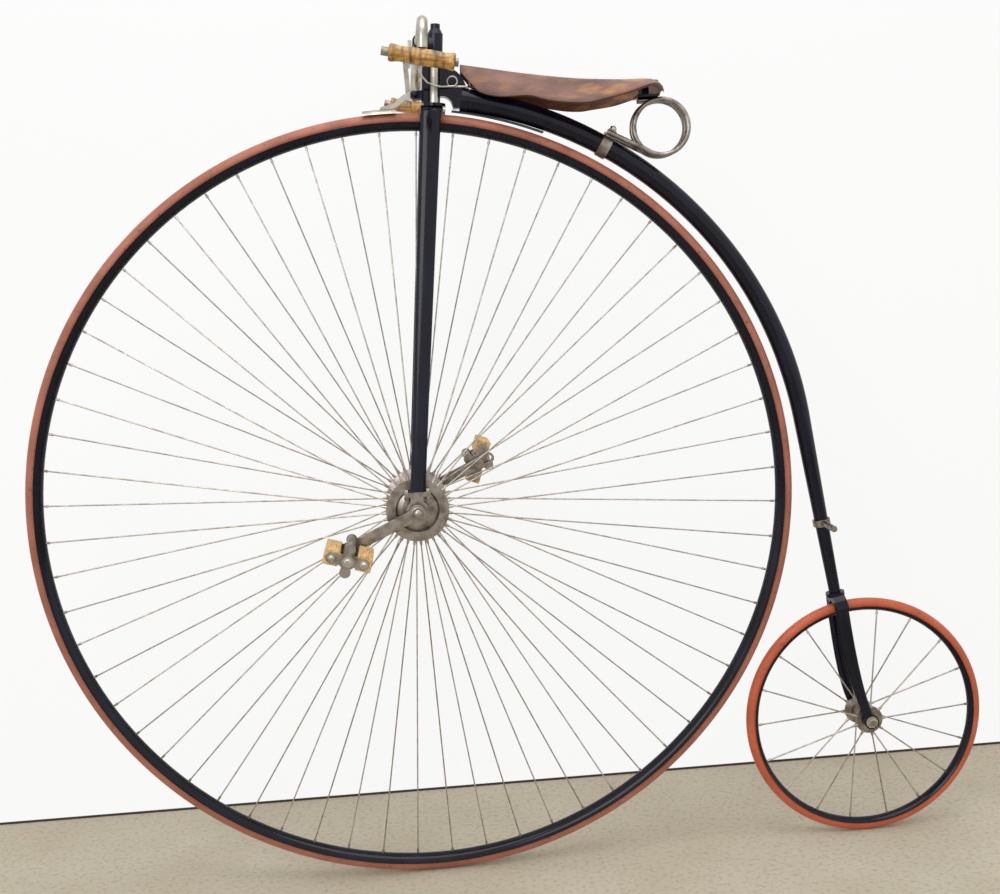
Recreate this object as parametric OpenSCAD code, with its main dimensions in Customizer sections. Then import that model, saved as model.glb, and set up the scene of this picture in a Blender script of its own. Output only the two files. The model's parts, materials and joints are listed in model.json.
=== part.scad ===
// Penny farthing bicycle with a 52 inch direct-drive front wheel, built as
// separate named pieces. Lengths are in mm.
// The drawing has the road at z = 0 with the front axle over x = 0; every piece
// is then moved so that the rider's seat point is the origin.
// +x points to the rear of the bicycle, +y to the rider's right, +z up.

/* [Wheels] */
// Front wheel diameter over its tyre
front_wheel_d = 1320; // [1000:10:1500]
// Rear wheel diameter over its tyre
rear_wheel_d = 431; // [350:2:520]
// Level distance between the two axles
wheelbase = 777; // [700:1:900]
// Front solid tyre diameter
front_tyre_d = 22; // [16:1:30]
// Rear solid tyre diameter
rear_tyre_d = 20; // [14:1:28]
// Front spokes, half of them on each flange
front_spokes_n = 64; // [40:4:80]
// Rear spokes, half of them on each flange
rear_spokes_n = 18; // [12:2:28]
// Front spoke diameter
front_spoke_d = 2.4; // [2:0.2:4]
// Rear spoke diameter
rear_spoke_d = 2.6; // [2:0.2:4]
// Front hub flange diameter
front_flange_d = 106; // [80:2:140]
// Rear hub flange diameter
rear_flange_d = 49; // [40:1:70]
// Centre distance between the front hub's flanges
front_flange_gap = 127; // [100:1:150]
// Centre distance between the rear hub's flanges
rear_flange_gap = 56; // [46:1:70]

/* [Frame] */
// Gap between the front tyre and the backbone's centre line
backbone_off = 30; // [26:0.5:45]
// Backbone diameter at the neck
backbone_d1 = 38; // [32:1:44]
// Backbone diameter over its middle
backbone_d2 = 32; // [26:1:36]
// Backbone diameter at the rear fork
backbone_d3 = 20; // [16:1:26]
// Lean of the steering axis towards the rear
rake = 4.6; // [2:0.1:10]
// Steering spindle diameter
spindle_d = 20; // [16:1:26]
// Height of the mounting step's peg above the road
step_z = 574; // [480:5:650]

/* [Controls] */
// Length of the cranks between axle and pedal pin
crank_len = 127; // [110:1:150]
// Angle of the left crank below level, towards the front
crank_angle = 23.5; // [0:0.1:360]
// Distance between the middles of the two grips
grip_span = 550; // [480:2:760]
// Handlebar diameter
bar_d = 16; // [14:0.5:22]
// Length of each grip
grip_len = 98; // [90:1:140]
// Length of each pedal's rubber blocks
pedal_len = 85; // [70:1:110]
// Lean of the left pedal from level, rear side down
left_pedal_lean = 16.7; // [-180:0.1:180]
// Lean of the right pedal from level, rear side down
right_pedal_lean = -70; // [-180:0.1:180]

/* [Saddle] */
// Saddle length
saddle_len = 338; // [280:2:380]
// Saddle width over the flaps
saddle_w = 184; // [150:2:220]
// Height of the seat point straight above the backbone's centre line
seat_h = 96.5; // [80:0.5:120]
// Outside diameter of the rear saddle spring's coils
coil_d = 100; // [80:1:110]
// Wire diameter of the rear saddle spring
coil_wire_d = 8; // [6:0.5:10]

/* [Hidden] */
$fn = 64;

fit = 0.05;             // running clearance on a radius
seat_gap = 0.3;         // stand-off of a piece that rests on a curved one
clear = 5.5;            // clearance of moving pieces

front_r = front_wheel_d / 2;
rear_r = rear_wheel_d / 2;
front_tyre_r = front_tyre_d / 2;
rear_tyre_r = rear_tyre_d / 2;
front_rim_r = front_tyre_r + 4;          // half the rim's width
rear_rim_r = rear_tyre_r + 2.5;
front_rim_in = front_r - 29.5;           // radius of the rim's inner face
rear_rim_in = rear_r - 21.8;
front_rim_c = front_rim_in + front_rim_r;
rear_rim_c = rear_rim_in + rear_rim_r;
front_tyre_c = front_r - front_tyre_r;
rear_tyre_c = rear_r - rear_tyre_r;

flange_t = 6;
hub_barrel_r = 21;
axle_r = 8;
hub_out = front_flange_gap / 2 + flange_t / 2;    // outer face of a flange
bearing_in = hub_out + clear;
bearing_w = 15;
bearing_r = 19.5;
crank_in = bearing_in + bearing_w + clear - 0.3;
crank_t = 11;
boss_r = 14.5;

rear_flange_t = 4;
rear_hub_out = rear_flange_gap / 2 + rear_flange_t / 2;
rear_axle_r = 6;
blade_t = 9;
blade_mid = rear_hub_out + clear + blade_t / 2;

// steering head: local z runs up the steering axis, local x to the rear
head_x = 76;
head_z = front_wheel_d + 20;
crown_top = -8;
crown_low = -24;
lip_t = 5;
lip_r = 19;
spindle_r = spindle_d / 2;
pin_r = 6;
socket_low = 76;
socket_top = 105;
socket_r = 13;
leg_off = -4.5;         // fork legs stand this far ahead of the axis
leg_y1 = 32;            // leg centre at the crown
leg_y2 = bearing_in + bearing_w / 2 + 0.5;
leg_top = front_wheel_d - 4;
leg_low = front_r + 33;

// handlebar
bar_x = -26;            // ahead of the steering axis
bar_h = 88;             // up the steering axis
bend_r = 26;
grip_drop = 67.5;
grip_tilt = 11.5;
grip_r = 12.5;
grip_bore = 4;

// backbone: an arc round the front axle, then a straight to the rear fork
arc_r = front_r + backbone_off;
arc_z = front_r - 3;    // the arc's centre, just below the axle
neck_a = 79;            // the arc starts here
crown_lean = 11.2;      // rear fork's lean
rear_crown_h = rear_r + 20;
end_p = [wheelbase - rear_crown_h * sin(crown_lean),
         rear_r + rear_crown_h * cos(crown_lean)];
end_v = end_p - [0, arc_z];
turn_a = atan2(end_v[1], end_v[0]) + acos(arc_r / norm(end_v));
bone_lean = turn_a;     // the straight part leans forward by as much

seat_x = 330;
seat_z = arc_z + sqrt(pow(arc_r, 2) - pow(seat_x, 2)) + seat_h;
tail_x = seat_x + saddle_len * 0.385;
nose_x = tail_x - saddle_len;

function unit(v) = v / norm(v);
function arc_pt(a, r = arc_r) = [r * cos(a), 0, arc_z + r * sin(a)];
function mix(a, b, t) = a + (b - a) * t;
// piecewise straight look-up of y in a table of [x, y] pairs
function look(t, x, i = 0) =
    i >= len(t) - 2 || x <= t[i + 1][0]
    ? mix(t[i][1], t[i + 1][1], (x - t[i][0]) / (t[i + 1][0] - t[i][0]))
    : look(t, x, i + 1);

module place() translate([-seat_x, 0, -seat_z]) children();
module at_head() translate([head_x, 0, head_z]) rotate([0, rake, 0]) children();
module at_front() translate([0, 0, front_r]) children();
module at_rear() translate([wheelbase, 0, rear_r]) children();
module both() { children(); mirror([0, 1, 0]) children(); }
// a cylinder from p to q
module rod(p, q, r, fn = 32) {
    d = q - p;
    translate(p) rotate([0, acos(d[2] / norm(d)), atan2(d[1], d[0])])
        cylinder(r = r, h = norm(d), $fn = fn);
}
module y_disc(r, y1, y2) translate([0, y1, 0]) rotate([-90, 0, 0])
    cylinder(r = r, h = y2 - y1);
// a ring of a profile drawn as [radius, y], turned about the y axis
module y_turn() rotate([-90, 0, 0]) rotate_extrude($fn = 180) children();

// tube along a path: rings of `sides` points, one radius for each point
module sweep(path, radii, ref, sides) {
    n = len(path);
    pts = [for (i = [0:n - 1])
        let (t = unit(i == 0 ? 4 * path[1] - 3 * path[0] - path[2]
                : i == n - 1 ? path[n - 3] - 4 * path[n - 2] + 3 * path[n - 1]
                : path[i + 1] - path[i - 1]),
             u = unit(cross(ref, t)), v = cross(t, u))
        for (j = [0:sides - 1])
            path[i] + radii[i] * (cos(360 * j / sides) * u + sin(360 * j / sides) * v)];
    skin(pts, n, sides);
}
// closes rings of points into one solid
module skin(pts, n, s) polyhedron(pts, concat(
    [[for (j = [0:s - 1]) j]],
    [for (i = [0:n - 2]) for (j = [0:s - 1]) let (k = (j + 1) % s)
        each [[i * s + j, (i + 1) * s + j, (i + 1) * s + k],
              [i * s + j, (i + 1) * s + k, i * s + k]]],
    [[for (j = [s - 1:-1:0]) (n - 1) * s + j]]));

// ---------------------------------------------------------------- wheels
module tyre(c, r) y_turn() translate([c, 0]) circle(r = r, $fn = 48);
module rim(c, r, tyre_c, tyre_r) y_turn() difference() {
    translate([c, 0]) circle(r = r, $fn = 64);
    translate([tyre_c, 0]) circle(r = tyre_r + seat_gap, $fn = 64);
    translate([tyre_c - tyre_r * 0.45, -2 * r]) square([3 * r, 4 * r]);
}
module spokes(n, gap, r1, r2, in_y, r, first) for (i = [0:n - 1]) {
    s = i % 2 == 0 ? -1 : 1;
    a = first + 360 * i / n;
    rod([r1 * cos(a), s * gap / 2, r1 * sin(a)],
        [r2 * cos(a), s * in_y, r2 * sin(a)], r, 16);
}
module front_tyre() color("#b0674f") place() at_front() tyre(front_tyre_c, front_tyre_r);
module front_rim() color("#16171b") place() at_front()
    rim(front_rim_c, front_rim_r, front_tyre_c, front_tyre_r);
module front_spokes() color("#6d6862") place() at_front()
    spokes(front_spokes_n, front_flange_gap, front_flange_d / 2 + seat_gap,
        front_rim_in - seat_gap, 4, front_spoke_d / 2, 1.8);
module rear_tyre() color("#c8603c") place() at_rear() tyre(rear_tyre_c, rear_tyre_r);
module rear_rim() color("#16171b") place() at_rear()
    rim(rear_rim_c, rear_rim_r, rear_tyre_c, rear_tyre_r);
module rear_spokes() color("#6d6862") place() at_rear()
    spokes(rear_spokes_n, rear_flange_gap, rear_flange_d / 2 + seat_gap,
        rear_rim_in - seat_gap, 3, rear_spoke_d / 2, 1.3);

// hub with two flanges whose outer faces are dished inside a raised ring
module front_hub() color("#6b6058") place() at_front() {
    fr = front_flange_d / 2;
    fi = front_flange_gap / 2 - flange_t / 2;
    y_turn() polygon(concat(
        [[axle_r, -hub_out + 2], [26, -hub_out + 2], [34, -hub_out + 5], [37, -hub_out],
         [fr, -hub_out], [fr, -fi], [32, -fi + 6], [hub_barrel_r, -fi + 18]],
        [[hub_barrel_r, fi - 18], [32, fi - 6], [fr, fi], [fr, hub_out],
         [37, hub_out], [34, hub_out - 5], [26, hub_out - 2], [axle_r, hub_out - 2]]));
}
module front_axle() color("#7a716a") place() at_front() {
    y_disc(axle_r, -crank_in - crank_t, crank_in + crank_t);
}
module rear_hub() color("#6b6058") place() at_rear() {
    fr = rear_flange_d / 2;
    fi = rear_flange_gap / 2 - rear_flange_t / 2;
    y_turn() polygon([[rear_axle_r + fit, -rear_hub_out], [fr, -rear_hub_out], [fr, -fi],
        [14, -fi + 4], [14, fi - 4], [fr, fi], [fr, rear_hub_out], [rear_axle_r + fit, rear_hub_out]]);
}

// ---------------------------------------------------------------- cranks and pedals
pedal_in = crank_in + crank_t + 5;
plate_t = 4;
pedal_out = pedal_in + pedal_len + 2 * plate_t;
pedal_pin_r = 5;
slot_len = 20;          // the crank's slot runs this far past the pin
rubber_w = 25;
rubber_x = 26.5;
bar_r = 7.5;
bar_z = 18.5;
module y_disc2(r, side, y1, y2) y_disc(r, side > 0 ? y1 : -y2, side > 0 ? y2 : -y1);
module y_bar(x1, x2, h, side, y1, y2)
    translate([x1, side > 0 ? y1 : -y2, -h / 2]) cube([x2 - x1, y2 - y1, h]);
// a side is -1 on the rider's left and 1 on the right; a crank points along -x
module at_crank(side) at_front() rotate([0, side < 0 ? -crank_angle : 180 - crank_angle, 0])
    children();
module crank(side) at_crank(side) difference() {
    union() {
        y_disc2(boss_r, side, crank_in, crank_in + crank_t);
        y_bar(-crank_len - slot_len, -6, 19, side, crank_in + 1, crank_in + crank_t - 1);
        translate([-crank_len - slot_len, 0, 0])
            y_disc2(9.5, side, crank_in + 1, crank_in + crank_t - 1);
    }
    y_disc2(axle_r + 2 * fit, side, crank_in - 1, crank_in + crank_t + 1);
    y_bar(-crank_len - slot_len, -crank_len, 2 * (pedal_pin_r + fit), side, crank_in - 1, crank_in + crank_t + 1);
    for (x = [0, slot_len]) translate([-crank_len - x, 0, 0])
        y_disc2(pedal_pin_r + 2 * fit, side, crank_in - 1, crank_in + crank_t + 1);
}
module left_crank() color("#7a7078") place() crank(-1);
module right_crank() color("#7a7078") place() crank(1);
// at the pedal pin, turned to the pedal's own lean
module at_pedal(side) at_crank(side) translate([-crank_len, 0, 0])
    rotate([0, side < 0 ? crank_angle + left_pedal_lean : crank_angle - 180 + right_pedal_lean, 0])
        children();
module pin(side) at_pedal(side) {
    y_disc2(pedal_pin_r, side, crank_in - 3, pedal_out - 2);
    y_disc2(8.5, side, crank_in - 2.5, crank_in + 1);
    y_disc2(8.5, side, crank_in + crank_t - 1, crank_in + crank_t + 3);
}
module pedal_pins() color("#5f5a55") place() for (side = [-1, 1]) pin(side);
module pedal_plate(side, y1) {
    y_disc2(14, side, y1, y1 + plate_t);
    y_bar(-rubber_x, rubber_x, 17, side, y1, y1 + plate_t);
    for (x = [-rubber_x, rubber_x]) translate([x, 0, 0]) y_disc2(8.5, side, y1, y1 + plate_t);
    for (z = [-bar_z, bar_z]) translate([0, 0, z]) y_disc2(9, side, y1, y1 + plate_t);
}
module pedal(side) at_pedal(side) difference() {
    union() {
        pedal_plate(side, pedal_in);
        pedal_plate(side, pedal_out - plate_t);
        y_disc2(10.5, side, pedal_in, pedal_out);
        y_disc2(12, side, pedal_in, pedal_out + 5);
        for (z = [-bar_z, bar_z]) translate([0, 0, z]) y_disc2(bar_r, side, pedal_in, pedal_out);
    }
    y_disc2(pedal_pin_r + fit, side, pedal_in - 1, pedal_out - 1.5);
}
module left_pedal() color("#7d776c") place() pedal(-1);
module right_pedal() color("#7d776c") place() pedal(1);
module rubbers(side) at_pedal(side) for (x = [-rubber_x, rubber_x]) translate([x, 0, 0])
    y_bar(-rubber_w / 2, rubber_w / 2, rubber_w, side, pedal_in + plate_t, pedal_out - plate_t);
module left_pedal_rubbers() color("#d9a45c") place() rubbers(-1);
module right_pedal_rubbers() color("#d9a45c") place() rubbers(1);

// ---------------------------------------------------------------- front fork and head
// room for the turning wheel
module wheel_room() at_front() y_turn() {
    translate([front_tyre_c, 0]) circle(r = front_tyre_r + clear, $fn = 48);
    translate([front_rim_in - 40, -front_rim_r - clear]) square([front_tyre_c - front_rim_in + 40, 2 * (front_rim_r + clear)]);
}
leg_low_x = 2.5;
function leg_pt(t) = [mix(head_x + leg_off - 4, leg_low_x, t), mix(leg_y1, leg_y2, t), mix(leg_top, leg_low, t)];
module leg() {
    sides = 20; n = 9;
    pts = [for (i = [0:n - 1]) let (t = i / (n - 1), p = leg_pt(t),
            a = mix(17.5, 13, min(1, t * 1.2)), b = mix(9, 6.4, t))
        for (j = [0:sides - 1]) let (c = cos(360 * j / sides), s = sin(360 * j / sides))
            p + [a * sign(c) * pow(abs(c), 0.8), -b * sign(s) * pow(abs(s), 0.8), 0]];
    skin(pts, n, sides);
}
module fork_legs() color("#16171b") place() both() leg();
module fork_crown() color("#16171b") place() difference() {
    at_head() {
        translate([0, 0, crown_top - lip_t]) cylinder(r = lip_r, h = lip_t);
        translate([leg_off - 18, 0, 0]) rotate([90, 0, 90]) linear_extrude(36) intersection() {
            translate([0, crown_top - lip_t - 40]) circle(r = 42);
            translate([-60, crown_low]) square([120, crown_top - lip_t + 2 - crown_low]);
        }
    }
    wheel_room();
    at_head() translate([0, 0, -40]) cylinder(r = pin_r + fit, h = 60);
    both() leg();
}
module head_web() color("#16171b") place() {
    web();
    difference() {
        brake_pivot();
        at_head() cylinder(r = spindle_r + 2, h = 200, center = true);
    }
}
module web() at_head() intersection() {
    translate([0, 0, crown_top]) difference() {
        cylinder(r = 22, h = socket_low - crown_top);
        translate([0, 0, -1]) cylinder(r = spindle_r + 2, h = 2 * socket_low);
    }
    translate([0, 0, crown_top]) linear_extrude(2 * socket_low)
        polygon([[0, 0], [-40, 26], [-40, -26]]);
}
module head_socket() color("#16171b") place() at_head() difference() {
    union() {
        translate([0, 0, socket_low]) cylinder(r = socket_r, h = socket_top - socket_low);
        translate([bar_x, 0, bar_h]) y_disc(bar_d / 2 + 4, -lug_y, lug_y);
        translate([bar_x, -12, bar_h - 9]) cube([-bar_x, 24, 18]);
        translate([-22, -9, socket_low]) cube([22, 18, 12]);
    }
    translate([0, 0, socket_low - 1]) cylinder(r = pin_r + fit, h = 25);
    translate([bar_x, 0, bar_h]) y_disc(bar_d / 2 + 2 * fit, -30, 30);
}
module head_bolt() color("#16171b") place() at_head() difference() {
    union() {
        translate([0, 0, socket_top]) cylinder(r1 = socket_r, r2 = 8.5, h = 8);
        translate([0, 0, socket_top + 8]) cylinder(r = 8, h = 8);
    }
    translate([-10, -1.5, socket_top + 12]) cube([20, 3, 10]);
}
module front_bearings() color("#5c544e") place() both() at_front() difference() {
    union() {
        y_disc(bearing_r, bearing_in, bearing_in + bearing_w);
        translate([-11, bearing_in + 1, 10]) cube([22, bearing_w - 2, leg_low - front_r - 10 - 7]);
        translate([-22 + leg_low_x / 2, bearing_in, leg_low - front_r - 8]) cube([44, bearing_w, 8]);
    }
    y_disc(axle_r + fit, bearing_in - 1, bearing_in + bearing_w + 1);
}

// ---------------------------------------------------------------- handlebar and brake
bar_droop = 3;          // the bar slopes down to each side
lug_y = 26;             // half the length of the head lug
slope_y = lug_y + 2;    // the slope starts here
slope_len = (grip_span / 2 - slope_y - bend_r * (1 - sin(bar_droop))) / cos(bar_droop);
bend_z = -slope_len * sin(bar_droop) - bend_r * cos(bar_droop);
stem_z = grip_r + 1 - grip_drop;
// outside a small collar the bar slopes down to the bend, then drops into the grip
module half_bar() {
    y_disc(bar_d / 2 + 1, lug_y + 1, lug_y + 4);
    translate([0, slope_y, 0]) rotate([-bar_droop, 0, 0]) {
        y_disc(bar_d / 2, 0, slope_len);
        translate([0, slope_len, -bend_r]) rotate([0, -90, 0])
            rotate_extrude(angle = 90 - bar_droop)
                translate([bend_r, 0]) circle(r = bar_d / 2, $fn = 32);
    }
    translate([0, grip_span / 2, stem_z]) cylinder(r = bar_d / 2 - 0.3, h = bend_z + 1 - stem_z);
}
module handlebar() color("#b9b4a8") place() at_head() translate([bar_x, 0, bar_h]) {
    y_disc(bar_d / 2, -lug_y - 1, lug_y + 1);
    both() half_bar();
}
module at_grip(side) at_head() translate([bar_x, side * grip_span / 2, bar_h - grip_drop])
    rotate([0, 90 + grip_tilt - rake, 0]) children();
module grip(side) at_grip(side) rotate_extrude() polygon(concat(
    [[grip_bore, -grip_len / 2]],
    [for (k = [0:12]) let (t = k / 12, z = mix(-grip_len / 2, grip_len / 2, t))
        [grip_r - 1.5 + 2.2 * pow(abs(2 * t - 1), 2.5) + 1 * (1 - pow(abs(2 * t - 1), 0.7)), z]],
    [[grip_bore, grip_len / 2]]));
module left_grip() color("#c99a4e") place() grip(-1);
module right_grip() color("#c99a4e") place() grip(1);
module grip_rods() color("#a59f94") place() for (s = [-1, 1]) at_grip(s) {
    // a long nut ahead of the grip and a short one behind it
    translate([0, 0, -grip_len / 2 - 10]) cylinder(r = grip_bore, h = grip_len + 14);
    translate([0, 0, -grip_len / 2 - 11]) cylinder(r = 6.5, h = 11 - seat_gap);
    translate([0, 0, grip_len / 2 + seat_gap]) cylinder(r = 6, h = 5);
}
// a flat piece cut from plate, drawn as [x, height above the tyre's top]
module plate(y1, y2, shape) translate([0, y1, front_wheel_d]) rotate([90, 0, 0])
    mirror([0, 0, 1]) linear_extrude(y2 - y1) polygon(shape);
pivot_x = 42.5;
pivot_h = 27.5;
module brake_spoon() color("#9a948c") place() difference() {
    union() {
        // curved shoe just off the tyre
        at_front() intersection() {
            y_turn() difference() {
                translate([front_tyre_c, 0]) circle(r = front_tyre_r + clear + 1.6, $fn = 64);
                translate([front_tyre_c, 0]) circle(r = front_tyre_r + clear, $fn = 64);
                translate([front_tyre_c - 60, -40]) square([69, 80]);
            }
            rotate([90, 0, 0]) linear_extrude(60, center = true)
                polygon([[0, 0], [-48, 700], [12, 700]]);
        }
        plate(-5, 5, [[-16, 6.3], [6, 7], [15, 11], [29, 21], [47, 21.5], [49, 28], [46, 33],
            [36, 35], [20, 26], [8, 15.5], [-14, 11]]);
    }
    translate([pivot_x, 0, front_wheel_d + pivot_h]) y_disc(4 + fit, -20, 20);
}
module brake_pivot() {
    both() plate(5.3, 8.8, [[36, 23], [40, 20], [62, 20], [62, 34], [40, 34], [36, 31]]);
    translate([pivot_x, 0, front_wheel_d + pivot_h]) {
        y_disc(4, -11, 11);
        translate([0, -11, 0]) sphere(r = 6.5);
    }
}
module brake_rod() color("#4c4a3c") place()
    plate(-3, 3, [[29, 31.5], [36.5, 35.8], [35.5, 92.7], [27.5, 92.7]]);
module brake_lever() color("#9a948c") place() {
    plate(-3, 3, [[36.8, 35.5], [45.5, 33.7], [46.5, 75], [43.5, 92], [43.5, 117], [38, 117],
        [38, 99], [27, 99], [27, 93], [38, 93], [41, 75]]);
    at_head() translate([bar_x - bar_d / 2 - 9, -3, bar_h - 5]) cube([4, 218, 10]);
}

// ---------------------------------------------------------------- frame
module steering_spindle() color("#cfc9bb") place() at_head() {
    translate([0, 0, crown_top + 0.5]) cylinder(r = spindle_r, h = socket_low - crown_top - 1);
    translate([0, 0, crown_top - 9]) cylinder(r = pin_r, h = socket_low - crown_top + 9 + 20);
}
module neck() color("#16171b") place() {
    difference() {
        plate(-11, 11, concat(
            [[84.5, 22], [88.5, 71], [94, 71]],
            [for (a = [78:-13:0]) [91 + 39 * cos(a), 30 + 40 * sin(a)]],
            [[124, 2], [107, 2]],
            [for (a = [0:15:90]) [88 + 18 * cos(a), 3.5 + 19 * sin(a)]]));
        at_head() cylinder(r = spindle_r + 2 * fit, h = 200, center = true);
    }
    translate([wire_bolt[0], 0, front_wheel_d + wire_bolt[1]]) y_disc(6, -18, 15);
    translate(arc_pt(neck_a + 1)) rotate([0, 179.5 - neck_a, 0])
        cylinder(r = backbone_d1 / 2 + 1, h = 11.9);
}
arc_len = arc_r * (neck_a - turn_a) * PI / 180;
straight_len = norm(end_p - [arc_pt(turn_a)[0], arc_pt(turn_a)[2]]);
run_len = arc_len + straight_len;
function bone_r(s) = look([[0, backbone_d1], [0.2, mix(backbone_d1, backbone_d2, 0.6)], [0.4, backbone_d2],
    [0.65, backbone_d2 * 0.985], [1, backbone_d3]], s / run_len) / 2;
arc_n = 34;
bone_path = concat([for (i = [0:arc_n]) arc_pt(mix(neck_a, turn_a, i / arc_n))],
    [for (k = [1:8]) let (e = [end_p[0], 0, end_p[1]]) mix(arc_pt(turn_a), e, k / 8)]);
bone_s = concat([for (i = [0:arc_n]) arc_len * i / arc_n], [for (k = [1:8]) arc_len + straight_len * k / 8]);
module backbone() color("#16171b") place()
    sweep(bone_path, [for (s = bone_s) bone_r(s)], [0, 1, 0], 28);
module rear_fork() color("#16171b") place() difference() {
    union() {
        translate([end_p[0], 0, end_p[1]]) rotate([0, -bone_lean, 0]) translate([0, 0, -7])
            cylinder(r = 16.5, h = 7 - seat_gap);
        at_rear() rotate([0, -crown_lean, 0]) translate([-11, 0, rear_r + clear])
            rotate([90, 0, 90]) linear_extrude(22) intersection() {
                translate([0, -15]) circle(r = 29);
                translate([-30, -16]) square([60, 26]);
            }
        both() blade();
        at_rear() both() y_disc(13, blade_mid - blade_t / 2, blade_mid + blade_t / 2);
    }
    at_rear() y_turn() {
        translate([rear_tyre_c, 0]) circle(r = rear_tyre_r + clear, $fn = 48);
        translate([rear_rim_in - 30, -rear_rim_r - clear]) square([rear_tyre_c - rear_rim_in + 30, 2 * (rear_rim_r + clear)]);
    }
    at_rear() y_disc(rear_axle_r + 2 * fit, -80, 80);
}
// a blade runs straight down from the crown, then bends back to the axle
module blade() {
    top = [wheelbase - (rear_r + 2) * sin(crown_lean), rear_r + (rear_r + 2) * cos(crown_lean)];
    knee = [mix(top[0], wheelbase, 0.4), mix(top[1], rear_r, 0.78)];
    sides = 16;
    n = 9;
    skin([for (i = [0:n - 1]) let (t = i / (n - 1),
            p = mix(mix(top, knee, t), mix(knee, [wheelbase, rear_r], t), t), a = mix(12, 8.5, t),
            out = min(1, 1.15 * (top[1] - p[1]) / (top[1] - rear_r)))
        for (j = [0:sides - 1]) [p[0] + a * cos(360 * j / sides),
            mix(rear_rim_r + clear + 5, blade_mid, out) - blade_t / 2 * sin(360 * j / sides), p[1]]],
        n, sides);
}
module rear_axle() color("#7a716a") place() at_rear() {
    y_disc(rear_axle_r, -blade_mid - blade_t / 2 - 8, blade_mid + blade_t / 2 + 8);
}
step_s = (step_z - end_p[1]) / (arc_pt(turn_a)[2] - end_p[1]);
step_p = mix([end_p[0], 0, end_p[1]], arc_pt(turn_a), step_s);
step_r = bone_r(run_len - straight_len * step_s);
module mounting_step() color("#8d877e") place() translate(step_p) rotate([0, -bone_lean, 0]) {
    difference() {
        translate([0, 0, -6]) cylinder(r = step_r + 3.5, h = 12);
        translate([0, 0, -10]) cylinder(r = step_r + seat_gap, h = 20);
    }
    translate([0, -step_r - 3, 0]) rotate([90, 0, 0]) cylinder(r = 5.5, h = 55);
}
module tyre_guard() color("#16171b") place() at_front() intersection() {
    y_turn() translate([front_r + clear, -10]) square([1.5, 20]);
    rotate([90, 0, 0]) linear_extrude(60, center = true)
        polygon([[0, 0], [110, 700], [290, 700]]);
}

// ---------------------------------------------------------------- saddle
// stations from nose to tail: share of the length, ridge below the nose line,
// share of the half width, drop of the flaps
ridge = [[0, 34], [0.15, 24.5], [0.3, 15], [0.5, 4.5], [0.615, 0], [0.8, -5.5], [0.94, -9], [1, -22]];
half = [[0, 0.15], [0.05, 0.24], [0.18, 0.39], [0.31, 0.48], [0.5, 0.57], [0.64, 0.67],
    [0.8, 0.88], [0.9, 0.9], [0.97, 0.6], [1, 0.22]];
drop = [[0, 14], [0.041, 30], [0.085, 44], [0.18, 48], [0.325, 41], [0.396, 45], [0.515, 47],
    [0.61, 45], [0.66, 41], [0.775, 31], [0.84, 24], [0.92, 15], [1, 6]];
leather_t = 4.5;
leather_rows = 26;
leather_strips = 20;
// one station: place along x, ridge height, half width, drop
function station(t) = [nose_x + t * saddle_len, seat_z + look(ridge, t),
    look(half, t) * saddle_w / 2, look(drop, t)];
// a point of the arched section at u = -1..1, `deep` mm under the top surface
arch = 2.5;
function section(s, u, deep) = let (
    slope = s[3] * arch * pow(abs(u), arch - 1) / s[2] * sign(u), q = norm([slope, 1]))
    [s[0], u * s[2] - deep * slope / q, s[1] - s[3] * pow(abs(u), arch) - deep / q];

module saddle_leather() color("#6d4a35") place()
    skin([for (i = [0:leather_rows]) let (s = station(i / leather_rows)) each concat(
        [for (j = [0:leather_strips]) section(s, 1 - 2 * j / leather_strips, 0)],
        [for (j = [leather_strips:-1:0]) section(s, 1 - 2 * j / leather_strips, leather_t)])],
        leather_rows + 1, 2 * (leather_strips + 1));

// height of the backbone's top line above the front tyre's top
function bone_top(x) = arc_z + sqrt(pow(arc_r + backbone_d1 / 2, 2) - x * x) - front_wheel_d;
nose_h = seat_z + ridge[0][1] - front_wheel_d - leather_t;
nose_w = 4.5;
module saddle_nose() color("#16171b") place() plate(-nose_w, nose_w, [
    [139, bone_top(139) + seat_gap], [151, bone_top(151) + seat_gap], [141, bone_top(139) + 14],
    [nose_x + 11, nose_h - 3.4], [nose_x + 7, nose_h - 2.8], [nose_x + 1, nose_h - 2], [nose_x + 1, nose_h - 6],
    [132, bone_top(139) + 20]]);
coil_c = arc_pt(53.6, arc_r + 75);
coil_r = coil_d / 2 - coil_wire_d / 2;
coil_lean = 36.5;       // of the wire where it leaves the backbone
// a foot along the coils' top, with a post up to the underside of the leather
cantle_x = coil_c[0] - 20;
cantle_low = coil_c[2] + coil_d / 2 + seat_gap;
cantle_top = seat_z + look(ridge, (cantle_x - nose_x) / saddle_len) - leather_t - 4 * seat_gap;
module saddle_cantle() color("#16171b") place() {
    translate([cantle_x - 19, -20, cantle_low]) cube([36, 40, 4]);
    translate([cantle_x - 11, -16, cantle_low + 3]) cube([12, 32, cantle_top - cantle_low - 3]);
}
clip_a = 58.8;
clip_r = bone_r(arc_len * (neck_a - clip_a) / (neck_a - turn_a));
wire_y = 19;
module spring(s) {
    low = coil_c - coil_r * [sin(coil_lean), 0, cos(coil_lean)];
    turn = 540 + coil_lean;
    path = concat(
        [for (k = [0:3]) mix(arc_pt(clip_a + 0.7, arc_r + 21), low, k / 4) + [0, s * wire_y, 0]],
        [for (k = [0:48]) let (a = -90 - coil_lean + turn * k / 48)
            coil_c + [coil_r * cos(a), s * (wire_y - 13.6 * k / 48), coil_r * sin(a)]],
        [for (x = [12, 24, 36]) coil_c + [-x, s * (wire_y - 13.6), coil_r]]);
    sweep(path, [for (p = path) coil_wire_d / 2], [0, 1, 0], 12);
}
module rear_saddle_springs() color("#9a948c") place() { spring(-1); spring(1); }
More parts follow.
